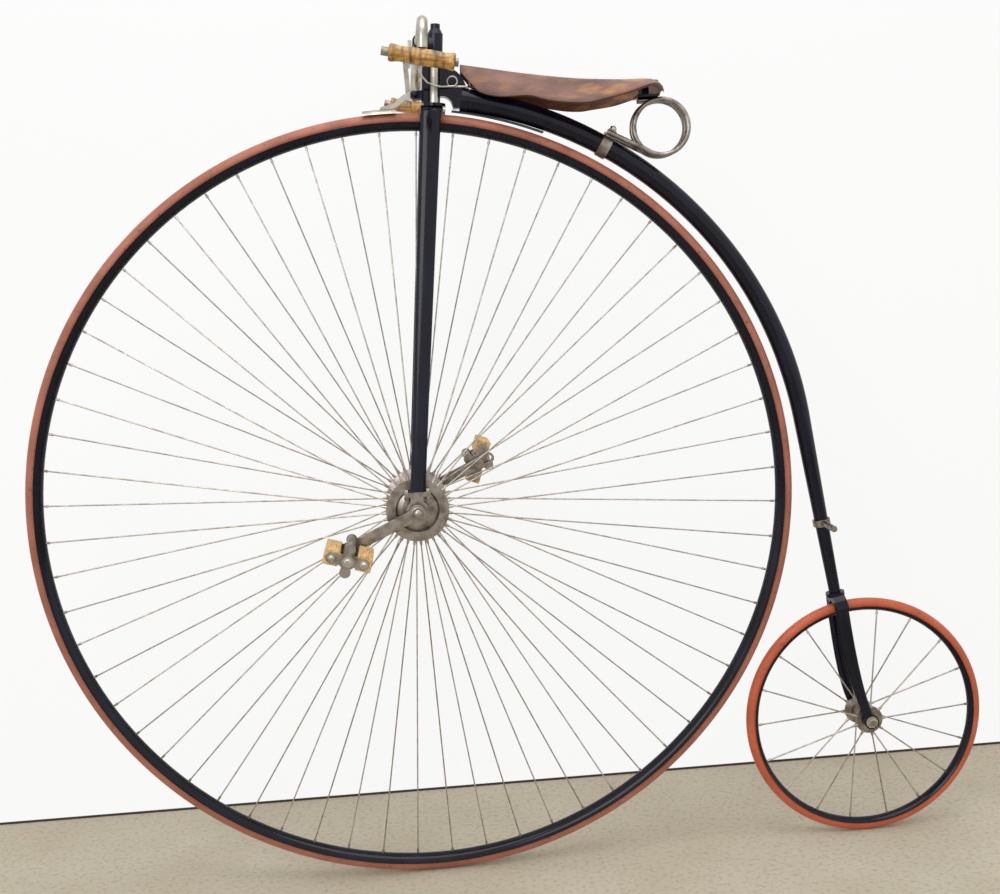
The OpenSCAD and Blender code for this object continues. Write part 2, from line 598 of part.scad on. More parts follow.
// a wire from beside the head, once round the neck's bolt, to the saddle's nose
wire_bolt = [107, 44.5];
wire_r = 1.7;
module front_saddle_wire() color("#b9b4a8") place() translate([0, 0, front_wheel_d]) {
    turn_r = 6 + wire_r + seat_gap;
    y0 = -11 - wire_r - seat_gap;
    path = concat(
        [[52, -29.5, 66], [57, -29.5, 53], [65, -28.5, 43], [76, -24, 38], [90, -18.8, 36.2]],
        [for (k = [0:20]) let (a = -90 + 360 * k / 20) [wire_bolt[0] + turn_r * cos(a),
            y0 - 3.9 + 3.9 * k / 20, wire_bolt[1] + turn_r * sin(a)]],
        [[118, y0, 36], [131, y0, 35.2], [140, -8, 34.6], [148, -nose_w - wire_r - seat_gap, 34.2]]);
    sweep(path, [for (p = path) wire_r], [0, 1, 0], 10);
}
module saddle_clip() color("#9a948c") place() translate(arc_pt(clip_a)) rotate([0, 90 - clip_a, 0])
    difference() {
        union() {
            translate([-9, 0, 0]) rotate([0, 90, 0]) cylinder(r = clip_r + 3, h = 18);
            translate([-7, seat_gap + coil_wire_d / 2 - wire_y, clip_r - 2])
                cube([14, 2 * (wire_y - coil_wire_d / 2 - seat_gap), 14]);
        }
        translate([-30, 0, 0]) rotate([0, 90, 0]) cylinder(r = clip_r + seat_gap, h = 60);
    }

front_tyre();
front_rim();
front_spokes();
front_hub();
front_axle();
left_crank();
right_crank();
left_pedal();
right_pedal();
left_pedal_rubbers();
right_pedal_rubbers();
pedal_pins();
fork_legs();
fork_crown();
head_web();
head_socket();
head_bolt();
front_bearings();
handlebar();
left_grip();
right_grip();
grip_rods();
brake_spoon();
brake_rod();
brake_lever();
steering_spindle();
neck();
backbone();
rear_fork();
rear_axle();
rear_hub();
rear_spokes();
rear_rim();
rear_tyre();
mounting_step();
tyre_guard();
saddle_leather();
saddle_nose();
saddle_cantle();
rear_saddle_springs();
front_saddle_wire();
saddle_clip();
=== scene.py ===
"""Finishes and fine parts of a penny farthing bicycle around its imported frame.

Everything is in metres in the frame's own axes: +x to the rear of the bicycle,
+y to the rider's right, +z up, with the rider's seat point as the origin.
"""

import json
import logging
import math
from dataclasses import dataclass
from enum import Enum

import bmesh
import bpy
from mathutils import Matrix, Vector

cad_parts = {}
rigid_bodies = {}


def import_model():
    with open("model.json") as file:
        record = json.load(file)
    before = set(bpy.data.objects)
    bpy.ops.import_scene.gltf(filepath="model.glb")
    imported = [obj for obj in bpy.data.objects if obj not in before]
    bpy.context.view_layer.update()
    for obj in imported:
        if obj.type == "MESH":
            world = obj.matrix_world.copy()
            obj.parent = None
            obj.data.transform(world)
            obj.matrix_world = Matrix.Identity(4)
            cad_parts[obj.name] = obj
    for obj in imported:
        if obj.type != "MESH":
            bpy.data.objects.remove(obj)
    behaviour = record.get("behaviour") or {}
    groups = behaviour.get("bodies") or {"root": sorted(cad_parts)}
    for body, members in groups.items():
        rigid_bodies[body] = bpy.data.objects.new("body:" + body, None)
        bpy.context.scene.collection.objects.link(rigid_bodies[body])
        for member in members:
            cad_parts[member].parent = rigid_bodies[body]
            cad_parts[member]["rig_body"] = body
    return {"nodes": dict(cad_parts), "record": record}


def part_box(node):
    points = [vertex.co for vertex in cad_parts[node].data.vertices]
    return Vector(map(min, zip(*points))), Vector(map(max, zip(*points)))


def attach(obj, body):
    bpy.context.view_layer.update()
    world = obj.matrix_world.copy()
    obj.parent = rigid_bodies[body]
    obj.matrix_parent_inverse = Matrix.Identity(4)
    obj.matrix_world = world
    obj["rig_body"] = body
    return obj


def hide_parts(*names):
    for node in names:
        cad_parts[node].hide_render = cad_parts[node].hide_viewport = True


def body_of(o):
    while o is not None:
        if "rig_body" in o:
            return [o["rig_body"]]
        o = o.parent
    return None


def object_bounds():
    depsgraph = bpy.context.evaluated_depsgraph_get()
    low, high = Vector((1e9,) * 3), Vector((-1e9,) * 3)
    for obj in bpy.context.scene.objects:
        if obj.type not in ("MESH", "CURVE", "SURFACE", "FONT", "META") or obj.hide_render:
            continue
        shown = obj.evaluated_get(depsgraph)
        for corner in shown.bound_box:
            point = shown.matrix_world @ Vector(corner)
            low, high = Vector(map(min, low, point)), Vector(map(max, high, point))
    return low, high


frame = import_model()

CAD_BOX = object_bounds()
MM = 0.001
WHITE = (1, 1, 1, 1)
JOINTS = {joint["name"]: joint for joint in frame["record"]["behaviour"]["joints"]}
log = logging.getLogger("bicycle")

Socket = bpy.types.NodeSocket
Profile = list[tuple[float, float]]


class Side(Enum):
    """A side of the bicycle, with the sign of its y."""

    LEFT = -1
    RIGHT = 1

    @property
    def word(self) -> str:
        """The side's name as it stands in the names of nodes."""
        return self.name.lower()


class Head(Enum):
    """The kinds of fastener head, with the sides of each."""

    HEXAGON = 6
    SQUARE = 4
    DOME = 20


# ------------------------------------------------------------------ small helpers
def linear(code: str) -> tuple[float, float, float, float]:
    """Turns an sRGB hex colour into a linear one.

    Args:
        code: The colour as #rrggbb.

    Returns:
        Red, green, blue and alpha.
    """
    parts = [int(code[i : i + 2], 16) / 255 for i in (1, 3, 5)]
    red, green, blue = (
        c / 12.92 if c <= 0.04045 else ((c + 0.055) / 1.055) ** 2.4 for c in parts
    )
    return red, green, blue, 1.0


def add(
    tree: bpy.types.NodeTree, kind: str, inputs: dict | None = None, **settings: object
) -> bpy.types.Node:
    """Adds a node with its settings and links.

    Args:
        tree: The tree that gets the node.
        kind: The node's type.
        inputs: A value or another node's output for each input, by name or place.
        **settings: The node's own properties.

    Returns:
        The new node.
    """
    node = tree.nodes.new(kind)
    for key, value in settings.items():
        setattr(node, key, value)
    for key, value in (inputs or {}).items():
        socket = node.inputs[key]
        if isinstance(value, Socket):
            tree.links.new(value, socket)
        else:
            socket.default_value = value
    return node


def maths(tree: bpy.types.NodeTree, operation: str, *values: object) -> Socket:
    """Adds a Math node and returns its result.

    Args:
        tree: The tree that gets the node.
        operation: The node's operation.
        *values: A number or another node's output for each input, in order.

    Returns:
        The result.
    """
    inputs = dict(enumerate(values))
    return add(tree, "ShaderNodeMath", inputs, operation=operation).outputs[0]


def empty_material(name: str) -> bpy.types.Material:
    """Makes a material whose tree has no nodes yet."""
    material = bpy.data.materials.new(name)
    material.use_nodes = True
    material.node_tree.nodes.clear()
    return material


def mix(a: float, b: float, t: float) -> float:
    """Returns the value a share t of the way from a to b."""
    return a + (b - a) * t


def smooth_table(table: Profile, x: float) -> float:
    """Reads a table of x and y pairs with a smooth curve through its points.

    Args:
        table: The pairs, in rising order of x.
        x: The place to read.

    Returns:
        The y there.
    """
    last = len(table) - 1
    i = max(k for k in range(last) if k == 0 or table[k][0] <= x)
    (x0, y0), (x1, y1) = table[i], table[i + 1]
    before, after = table[max(i - 1, 0)], table[min(i + 2, last)]
    span = x1 - x0
    t = (x - x0) / span
    m0 = (y1 - before[1]) / (x1 - before[0]) * span
    m1 = (after[1] - y0) / (after[0] - x0) * span
    return (
        y0 * (2 * t**3 - 3 * t**2 + 1)
        + m0 * (t**3 - 2 * t**2 + t)
        + y1 * (3 * t**2 - 2 * t**3)
        + m1 * (t**3 - t**2)
    )


# ------------------------------------------------------------------ finishes
def patches(
    tree: bpy.types.NodeTree,
    size: float,
    low: float = 0.35,
    high: float = 0.65,
    stretch: tuple[float, float, float] = (1, 1, 1),
    detail: float = 4,
) -> Socket:
    """Adds a soft mask of irregular patches.

    Args:
        tree: The material's tree.
        size: Size of a patch in mm.
        low: Noise value where the mask is 0.
        high: Noise value where the mask is 1.
        stretch: Length of a patch along x, y and z, as shares of its size.
        detail: Octaves of the noise.

    Returns:
        The mask, from 0 to 1.
    """
    place = add(tree, "ShaderNodeTexCoord").outputs["Object"]
    scaled = add(
        tree,
        "ShaderNodeMapping",
        {"Vector": place, "Scale": [1 / (size * MM * s) for s in stretch]},
    )
    noise = add(
        tree,
        "ShaderNodeTexNoise",
        {"Vector": scaled.outputs[0], "Scale": 1.0, "Detail": detail},
    )
    return add(
        tree,
        "ShaderNodeMapRange",
        {"Value": noise.outputs[0], "From Min": low, "From Max": high},
    ).outputs[0]


def blend(tree: bpy.types.NodeTree, mask: Socket, a: object, b: object) -> Socket:
    """Mixes two colours by a mask.

    Args:
        tree: The material's tree.
        mask: Share of the second colour.
        a: The first colour, as a hex code or an output.
        b: The second colour, as a hex code or an output.

    Returns:
        The mixed colour.
    """
    ends = [linear(c) if isinstance(c, str) else c for c in (a, b)]
    return add(
        tree,
        "ShaderNodeMix",
        {0: mask, 6: ends[0], 7: ends[1]},
        data_type="RGBA",
    ).outputs[2]


def spread(tree: bpy.types.NodeTree, mask: Socket, low: float, high: float) -> Socket:
    """Turns a mask into a number between two ends."""
    return add(
        tree, "ShaderNodeMapRange", {"Value": mask, "To Min": low, "To Max": high}
    ).outputs[0]


def relief(tree: bpy.types.NodeTree, height: Socket, depth: float) -> Socket:
    """Turns a mask into a bump of a depth in mm."""
    return add(
        tree, "ShaderNodeBump", {"Height": height, "Distance": depth * MM}
    ).outputs[0]


@dataclass(frozen=True)
class Finish:
    """A surface finish, from which its material is made once."""

    name: str
    slot: str

    def material(self) -> bpy.types.Material:
        """Returns the finish's material, made at the first call."""
        made = bpy.data.materials.get(self.name)
        if made is None:
            made = empty_material(self.name)
            shader = add(
                made.node_tree, "ShaderNodeBsdfPrincipled", self.inputs(made.node_tree)
            )
            add(
                made.node_tree,
                "ShaderNodeOutputMaterial",
                {"Surface": shader.outputs[0]},
            )
        return made

    def inputs(self, tree: bpy.types.NodeTree) -> dict:
        """Returns the shader's inputs. Each finish has its own."""
        raise NotImplementedError


@dataclass(frozen=True)
class StoveEnamel(Finish):
    """Black stove enamel, dipped and baked: deep gloss over a blue-black ground."""

    ground: str = "#090a18"
    haze: str = "#14162a"
    smooth: float = 0.12
    rough: float = 0.26
    coat: float = 0.12

    def inputs(self, tree: bpy.types.NodeTree) -> dict:
        """Old enamel has dull, slightly bluish patches and a faint orange peel."""
        dull = patches(tree, 45, 0.42, 0.72, (1, 1, 2))
        peel = patches(tree, 6, 0.2, 0.8)
        return {
            "Base Color": blend(tree, dull, self.ground, self.haze),
            "Roughness": spread(tree, dull, self.smooth, self.rough),
            "Specular IOR Level": 0.22,
            "Normal": relief(tree, peel, 0.02),
            "Coat Weight": self.coat,
            "Coat Roughness": 0.05,
        }


@dataclass(frozen=True)
class SolidRubber(Finish):
    """Moulded solid rubber that has gone dry: matt, mottled and finely pitted."""

    fresh: str
    worn: str
    dirt: str

    def inputs(self, tree: bpy.types.NodeTree) -> dict:
        """Large faded patches, small dirt specks and pits 2 mm apart."""
        faded = patches(tree, 55, 0.35, 0.68)
        specks = patches(tree, 7, 0.6, 0.76, detail=6)
        pits = patches(tree, 2.2, 0.3, 0.7)
        body = blend(tree, faded, self.fresh, self.worn)
        return {
            "Base Color": blend(tree, specks, body, self.dirt),
            "Roughness": spread(tree, faded, 0.42, 0.62),
            "Normal": relief(tree, pits, 0.12),
            "Sheen Weight": 0.15,
        }


@dataclass(frozen=True)
class Metal(Finish):
    """Bare or plated metal with tarnish that follows handling and damp."""

    clean: str
    tarnish: str
    smooth: float
    rough: float
    patch: float = 14
    grain: tuple[float, float, float] = (1, 1, 1)

    def inputs(self, tree: bpy.types.NodeTree) -> dict:
        """Tarnish patches with a fine drawn or filed grain under them."""
        stained = patches(tree, self.patch, 0.38, 0.66, self.grain, 6)
        grain = patches(tree, 1.6, 0.3, 0.7, self.grain)
        return {
            "Base Color": blend(tree, stained, self.clean, self.tarnish),
            "Metallic": 1.0,
            "Roughness": spread(tree, stained, self.smooth, self.rough),
            "Normal": relief(tree, grain, 0.03),
        }


@dataclass(frozen=True)
class TurnedHorn(Finish):
    """Polished horn, turned on a lathe: amber streaks with dark brown bands."""

    amber: str = "#d0a052"
    honey: str = "#9c6c30"
    dark: str = "#4f3018"

    def inputs(self, tree: bpy.types.NodeTree) -> dict:
        """Streaks run along the grip and dark bands lie across it."""
        streaks = patches(tree, 9, 0.38, 0.62, (3, 0.5, 0.5), 5)
        bands = patches(tree, 15, 0.5, 0.72, (0.5, 2.2, 2.2), 5)
        body = blend(tree, streaks, self.amber, self.honey)
        return {
            "Base Color": blend(tree, bands, body, self.dark),
            "Roughness": spread(tree, bands, 0.28, 0.4),
            "Normal": relief(tree, streaks, 0.08),
            "Coat Weight": 0.35,
            "Coat Roughness": 0.15,
        }


@dataclass(frozen=True)
class PedalRubber(Finish):
    """Cast gum rubber, amber and slightly waxy, with grimy streaks."""

    gum: str = "#ebc78b"
    brown: str = "#cf9f62"
    grime: str = "#8d6a42"

    def inputs(self, tree: bpy.types.NodeTree) -> dict:
        """Streaks lie along the block and the grime gathers in small spots."""
        streaks = patches(tree, 8, 0.4, 0.66, (0.7, 3, 0.7), 5)
        spots = patches(tree, 5, 0.62, 0.76, detail=5)
        body = blend(tree, streaks, self.gum, self.brown)
        return {
            "Base Color": blend(tree, spots, body, self.grime),
            "Roughness": spread(tree, streaks, 0.42, 0.6),
            "Normal": relief(tree, streaks, 0.15),
            "Subsurface Weight": 0.08,
            "Subsurface Radius": (0.004, 0.002, 0.001),
        }


@dataclass(frozen=True)
class SaddleHide(Finish):
    """Thick vegetable-tanned hide, waxed and worn by sitting: it shows grain
    1 mm across, long creases, dark oiled edges and orange rubbed places."""

    brown: str = "#7c5040"
    oiled: str = "#4b2e25"
    rubbed: str = "#bf8048"
    rub_from: float = -0.08
    rub_to: float = 0.08

    def inputs(self, tree: bpy.types.NodeTree) -> dict:
        """Patches of wear grow towards the tail, over grain and creases."""
        place = add(tree, "ShaderNodeTexCoord").outputs["Object"]
        along = add(tree, "ShaderNodeSeparateXYZ", {0: place}).outputs[0]
        tail = add(
            tree,
            "ShaderNodeMapRange",
            {"Value": along, "From Min": self.rub_from, "From Max": self.rub_to,
             "To Min": 0.25, "To Max": 1.0},
        ).outputs[0]
        oil = patches(tree, 60, 0.35, 0.7, (1.6, 1, 0.7), 6)
        rub = patches(tree, 30, 0.46, 0.64, (1.3, 1, 0.6), 6)
        worn = maths(tree, "MULTIPLY", rub, tail)
        edge = add(
            tree, "ShaderNodeAttribute", attribute_name="edge"
        ).outputs["Fac"]
        scaled = add(
            tree, "ShaderNodeMapping", {"Vector": place, "Scale": [1 / MM] * 3}
        )
        cells = add(
            tree,
            "ShaderNodeTexVoronoi",
            {"Vector": scaled.outputs[0], "Scale": 0.8},
            feature="SMOOTH_F1",
        ).outputs[0]
        crease = patches(tree, 7, 0.42, 0.62, (5, 1, 1.4), 6)
        body = blend(tree, oil, self.brown, self.oiled)
        rubbed = blend(tree, worn, body, self.rubbed)
        both = maths(tree, "MULTIPLY_ADD", cells, crease, crease)
        return {
            "Base Color": blend(tree, edge, rubbed, self.oiled),
            "Roughness": spread(tree, oil, 0.38, 0.58),
            "Normal": relief(tree, both, 0.35),
            "Coat Weight": 0.12,
            "Coat Roughness": 0.3,
        }


ENAMEL = StoveEnamel("black_stove_enamel", "black_enamel")
BRUSHED_BLACK = StoveEnamel(
    "brushed_black_enamel", "black_enamel", smooth=0.5, rough=0.62, coat=0.0
)
FRONT_RUBBER = SolidRubber(
    "aged_red_solid_rubber", "front_tyre_rubber", "#b8705a", "#a0604a", "#6f4a3c"
)
REAR_RUBBER = SolidRubber(
    "red_solid_rubber", "rear_tyre_rubber", "#d0643f", "#bc5838", "#7c4232"
)
STEEL = Metal("aged_bare_steel", "bare_steel", "#a79f98", "#776b62", 0.28, 0.46)
BRIGHT = Metal("rubbed_bright_steel", "bare_steel", "#cfcbc4", "#a39b92", 0.18, 0.34)
WIRE = Metal("drawn_steel_wire", "spoke_steel", "#c3bcb1", "#9a9287", 0.28, 0.42)
NICKEL = Metal(
    "worn_nickel_plate", "nickel", "#bcb8ad", "#948e80", 0.27, 0.44, 22
)
HORN = TurnedHorn("polished_turned_horn", "horn")
GUM = PedalRubber("amber_gum_rubber", "pedal_rubber")
HIDE = SaddleHide("waxed_saddle_hide", "saddle_leather")


# ------------------------------------------------------------------ mesh tools
def finished(
    name: str, mesh: bpy.types.Mesh, body: str, finish: Finish, angle: float = 35
) -> bpy.types.Object:
    """Makes a mesh a finished piece of the bicycle.

    Args:
        name: The piece's name.
        mesh: Its mesh, in the frame's axes.
        body: The body that it rides on.
        finish: Its finish.
        angle: Edges sharper than this many degrees stay crisp.

    Returns:
        The piece's object.
    """
    mesh.materials.clear()
    mesh.materials.append(finish.material())
    mesh.polygons.foreach_set("use_smooth", [True] * len(mesh.polygons))
    mesh.set_sharp_from_angle(angle=math.radians(angle))
    piece = bpy.data.objects.new(name, mesh)
    bpy.context.scene.collection.objects.link(piece)
    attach(piece, body)
    log.info("%s: %d faces on %s", name, len(mesh.polygons), body)
    return piece


def turned(
    name: str, profile: Profile, centre: Vector, steps: int = 96, closed: bool = True
) -> bpy.types.Mesh:
    """Turns a profile about a line through a point along y.

    Args:
        name: The mesh's name.
        profile: Radius and y of each point, in metres.
        centre: The point.
        steps: Number of steps round.
        closed: True if the profile's last point joins its first.

    Returns:
        The mesh.
    """
    angles = [2 * math.pi * k / steps for k in range(steps)]
    verts = [
        centre + Vector((r * math.cos(a), y, r * math.sin(a)))
        for a in angles
        for r, y in profile
    ]
    return outward(name, verts, bands(steps, len(profile), 0, closed, True))


def bands(
    rings: int, count: int, first: int = 0, closed: bool = True, looped: bool = False
) -> list[tuple[int, ...]]:
    """Lists the quads between rings of points.

    Args:
        rings: Number of rings.
        count: Points in a ring.
        first: Place of the first point.
        closed: True if a ring's last point joins its first.
        looped: True if the last ring joins the first one.

    Returns:
        The faces, by the places of their points.
    """
    return [
        (
            first + ring * count + i,
            first + ring * count + (i + 1) % count,
            first + (ring + 1) % rings * count + (i + 1) % count,
            first + (ring + 1) % rings * count + i,
        )
        for ring in range(rings if looped else rings - 1)
        for i in range(count if closed else count - 1)
    ]


def outward(name: str, verts: list, faces: list) -> bpy.types.Mesh:
    """Makes a mesh whose doubles are merged and whose faces point outwards."""
    mesh = bpy.data.meshes.new(name)
    mesh.from_pydata([tuple(v) for v in verts], [], faces)
    work = bmesh.new()
    work.from_mesh(mesh)
    bmesh.ops.remove_doubles(work, verts=work.verts, dist=1e-6)
    bmesh.ops.recalc_face_normals(work, faces=work.faces)
    work.to_mesh(mesh)
    work.free()
    return mesh


def softened(
    node: str, finish: Finish, width: float = 0.5, angle: float = 35
) -> bpy.types.Object:
    """Stands a copy with eased edges in for a node.

    Args:
        node: The node's name.
        finish: The finish of the copy.
        width: Width of the eased edges in mm, or 0 for none.
        angle: Edges sharper than this many degrees are eased.

    Returns:
        The copy.
    """
    source = frame["nodes"][node]
    body = body_of(source)[0]
    mesh = source.data.copy()
    mesh.name = f"{node}_finished"
    work = bmesh.new()
    work.from_mesh(mesh)
    bmesh.ops.remove_doubles(work, verts=work.verts, dist=2e-5)
    if width:
        bmesh.ops.dissolve_limit(
            work, angle_limit=math.radians(1), verts=work.verts, edges=work.edges
        )
    work.to_mesh(mesh)
    work.free()
    if mesh.has_custom_normals:
        mesh.normals_split_custom_set([(0, 0, 0)] * len(mesh.loops))
        mesh.attributes.remove(mesh.attributes["custom_normal"])
    piece = finished(f"{node}_finished", mesh, body, finish, angle)
    if width:
        bevel = piece.modifiers.new("eased_edges", "BEVEL")
        bevel.width = width * MM
        bevel.segments = 2
        bevel.limit_method = "ANGLE"
        bevel.angle_limit = math.radians(angle)
        bevel.harden_normals = True
        bevel.use_clamp_overlap = True
    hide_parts(node)
    return piece


def dress(finish: Finish, *nodes: str) -> None:
    """Gives nodes that keep their own shape a finish."""
    for node in nodes:
        piece = frame["nodes"][node]
        if not piece.material_slots:
            piece.data.materials.append(None)
        for place in piece.material_slots:
            place.material = finish.material()
        log.info("%s: keeps its shape", node)


# ------------------------------------------------------------------ geometry node trees
def new_tree(name: str, sockets: dict[str, tuple[str, object]]) -> bpy.types.NodeTree:
    """Starts a tree of geometry nodes.

    Args:
        name: The tree's name.
        sockets: The type and the usual value of each named input.

    Returns:
        The tree, with its group input and output in place.
    """
    tree = bpy.data.node_groups.new(name, "GeometryNodeTree")
    plug = "NodeSocketGeometry"
    tree.interface.new_socket("Geometry", in_out="INPUT", socket_type=plug)
    for label, (kind, value) in sockets.items():
        socket = tree.interface.new_socket(label, in_out="INPUT", socket_type=kind)
        if value is not None:
            socket.default_value = value
    tree.interface.new_socket("Geometry", in_out="OUTPUT", socket_type=plug)
    return tree


def close_tree(tree: bpy.types.NodeTree, geometry: Socket, material: Socket) -> None:
    """Ends a tree in realized instances with the material set."""
    real = add(tree, "GeometryNodeRealizeInstances", {0: geometry}).outputs[0]
    shaded = add(
        tree, "GeometryNodeSetMaterial", {"Geometry": real, "Material": material}
    )
    add(tree, "NodeGroupOutput", {0: shaded.outputs[0]})


CROWN_SHARE = 0.28      # share of a head's height that tapers


def fastener_tree() -> bpy.types.NodeTree:
    """Sets a washer and a head on every vertex, square to its `facing` vector."""
    tree = new_tree(
        "fasteners",
        {
            "Head Radius": ("NodeSocketFloat", 0.004),
            "Head Height": ("NodeSocketFloat", 0.003),
            "Head Sides": ("NodeSocketInt", 6),
            "Taper": ("NodeSocketFloat", 0.85),
            "Washer Radius": ("NodeSocketFloat", 0.006),
            "Washer Height": ("NodeSocketFloat", 0.001),
            "Material": ("NodeSocketMaterial", None),
        },
    )
    given = add(tree, "NodeGroupInput").outputs
    washer = add(
        tree,
        "GeometryNodeMeshCylinder",
        {
            "Vertices": 20,
            "Radius": given["Washer Radius"],
            "Depth": given["Washer Height"],
        },
    )
    narrow = maths(tree, "MULTIPLY", given["Head Radius"], given["Taper"])
    lower = maths(tree, "MULTIPLY", given["Head Height"], 1 - CROWN_SHARE)
    upper = maths(tree, "MULTIPLY", given["Head Height"], CROWN_SHARE)
    barrel, crown = (
        add(
            tree,
            "GeometryNodeMeshCone",
            {
                "Vertices": given["Head Sides"],
                "Radius Top": top,
                "Radius Bottom": given["Head Radius"],
                "Depth": depth,
            },
        )
        for top, depth in ((given["Head Radius"], lower), (narrow, upper))
    )
    washer_height = given["Washer Height"]
    lifted = []
    for part, height in (
        (washer, maths(tree, "MULTIPLY", washer_height, 0.5)),
        (barrel, washer_height),
        (crown, maths(tree, "ADD", washer_height, lower)),
    ):
        lift = add(tree, "ShaderNodeCombineXYZ", {"Z": height}).outputs[0]
        moved = {"Geometry": part.outputs[0], "Translation": lift}
        lifted.append(add(tree, "GeometryNodeTransform", moved).outputs[0])
    joined = add(tree, "GeometryNodeJoinGeometry")
    for part in lifted:
        tree.links.new(part, joined.inputs[0])
    facing = add(
        tree, "GeometryNodeInputNamedAttribute", {"Name": "facing"},
        data_type="FLOAT_VECTOR",
    )
    turn = add(
        tree,
        "FunctionNodeAlignRotationToVector",
        {"Vector": facing.outputs[0]},
        axis="Z",
    )
    placed = add(
        tree,
        "GeometryNodeInstanceOnPoints",
        {
            "Points": given["Geometry"],
            "Instance": joined.outputs[0],
            "Rotation": turn.outputs[0],
        },
    )
    close_tree(tree, placed.outputs[0], given["Material"])
    return tree


def wire_tree() -> bpy.types.NodeTree:
    """Sweeps a round section, as thick as `thickness`, along a line of vertices."""
    tree = new_tree(
        "round_wire",
        {
            "Sides": ("NodeSocketInt", 16),
            "Material": ("NodeSocketMaterial", None),
        },
    )
    given = add(tree, "NodeGroupInput").outputs
    line = add(tree, "GeometryNodeMeshToCurve", {0: given["Geometry"]})
    thick = add(
        tree,
        "GeometryNodeInputNamedAttribute",
        {"Name": "thickness"},
        data_type="FLOAT",
    )
    section = add(
        tree,
        "GeometryNodeCurvePrimitiveCircle",
        {"Resolution": given["Sides"], "Radius": 1.0},
    )
    skin = add(
        tree,
        "GeometryNodeCurveToMesh",
        {
            "Curve": line.outputs[0],
            "Profile Curve": section.outputs[0],
            "Scale": thick.outputs[0],
            "Fill Caps": True,
        },
    )
    close_tree(tree, skin.outputs[0], given["Material"])
    return tree


def spoke_fitting_tree() -> bpy.types.NodeTree:
    """Sets a tapered sleeve on every spoke of a wheel, in line with the spoke."""
    tree = new_tree(
        "spoke_fittings",
        {
            "Count": ("NodeSocketInt", 64),
            "First Angle": ("NodeSocketFloat", 0.0),
            "Distance": ("NodeSocketFloat", 0.6),
            "Offset": ("NodeSocketFloat", 0.01),
            "Lean": ("NodeSocketFloat", 0.1),
            "Radius": ("NodeSocketFloat", 0.003),
            "Length": ("NodeSocketFloat", 0.01),
            "Centre": ("NodeSocketVector", (0, 0, 0)),
            "Material": ("NodeSocketMaterial", None),
        },
    )
    given = add(tree, "NodeGroupInput").outputs
    points = add(tree, "GeometryNodePoints", {"Count": given["Count"]})
    index = add(tree, "GeometryNodeInputIndex").outputs[0]
    share = maths(tree, "DIVIDE", index, given["Count"])
    angle = maths(tree, "MULTIPLY_ADD", share, 2 * math.pi, given["First Angle"])
    side = maths(tree, "MULTIPLY_ADD", maths(tree, "MODULO", index, 2.0), 2.0, -1.0)
    cosine, sine = maths(tree, "COSINE", angle), maths(tree, "SINE", angle)
    spot = add(
        tree,
        "ShaderNodeCombineXYZ",
        {
            "X": maths(tree, "MULTIPLY", cosine, given["Distance"]),
            "Y": maths(tree, "MULTIPLY", side, given["Offset"]),
            "Z": maths(tree, "MULTIPLY", sine, given["Distance"]),
        },
    )
    lean = add(
        tree,
        "ShaderNodeCombineXYZ",
        {"X": cosine, "Y": maths(tree, "MULTIPLY", side, given["Lean"]), "Z": sine},
    )
    where = add(
        tree, "ShaderNodeVectorMath", {0: spot.outputs[0], 1: given["Centre"]},
        operation="ADD",
    )
    ring = add(
        tree,
        "GeometryNodeSetPosition",
        {"Geometry": points.outputs[0], "Position": where.outputs[0]},
    )
    turn = add(
        tree, "FunctionNodeAlignRotationToVector", {"Vector": lean.outputs[0]}, axis="Z"
    )
    waist = maths(tree, "MULTIPLY", given["Radius"], 0.7)
    sleeve = add(
        tree,
        "GeometryNodeMeshCone",
        {
            "Vertices": 8,
            "Radius Top": waist,
            "Radius Bottom": given["Radius"],
            "Depth": given["Length"],
        },
    )
    placed = add(
        tree,
        "GeometryNodeInstanceOnPoints",
        {
            "Points": ring.outputs[0],
            "Instance": sleeve.outputs[0],
            "Rotation": turn.outputs[0],
        },
    )
    close_tree(tree, placed.outputs[0], given["Material"])
    return tree


class Trees:
    """The geometry node trees, each made at its first use."""

    makers = {
        "fasteners": fastener_tree,
        "round_wire": wire_tree,
        "spoke_fittings": spoke_fitting_tree,
    }

    @classmethod
    def grow(
        cls, tree_name: str, name: str, seed: bpy.types.Mesh, inputs: dict
    ) -> bpy.types.Mesh:
        """Runs a tree and keeps its result as a plain mesh.

        Args:
            tree_name: The tree's name.
            name: Name of the new mesh.
            seed: The mesh that the tree starts from.
            inputs: Values of the tree's inputs by name.

        Returns:
            The mesh.
        """
        tree = bpy.data.node_groups.get(tree_name) or cls.makers[tree_name]()
        host = bpy.data.objects.new(f"{name}_seed", seed)
        bpy.context.scene.collection.objects.link(host)
        modifier = host.modifiers.new(tree_name, "NODES")
        modifier.node_group = tree
        for item in tree.interface.items_tree:
            if item.in_out == "INPUT" and item.name in inputs:
                modifier[item.identifier] = inputs[item.name]
        graph = bpy.context.evaluated_depsgraph_get()
        grown = host.evaluated_get(graph)
        mesh = bpy.data.meshes.new_from_object(grown, depsgraph=graph)
        host.modifiers.remove(modifier)
        bpy.data.objects.remove(host)
        mesh.name = name
        return mesh


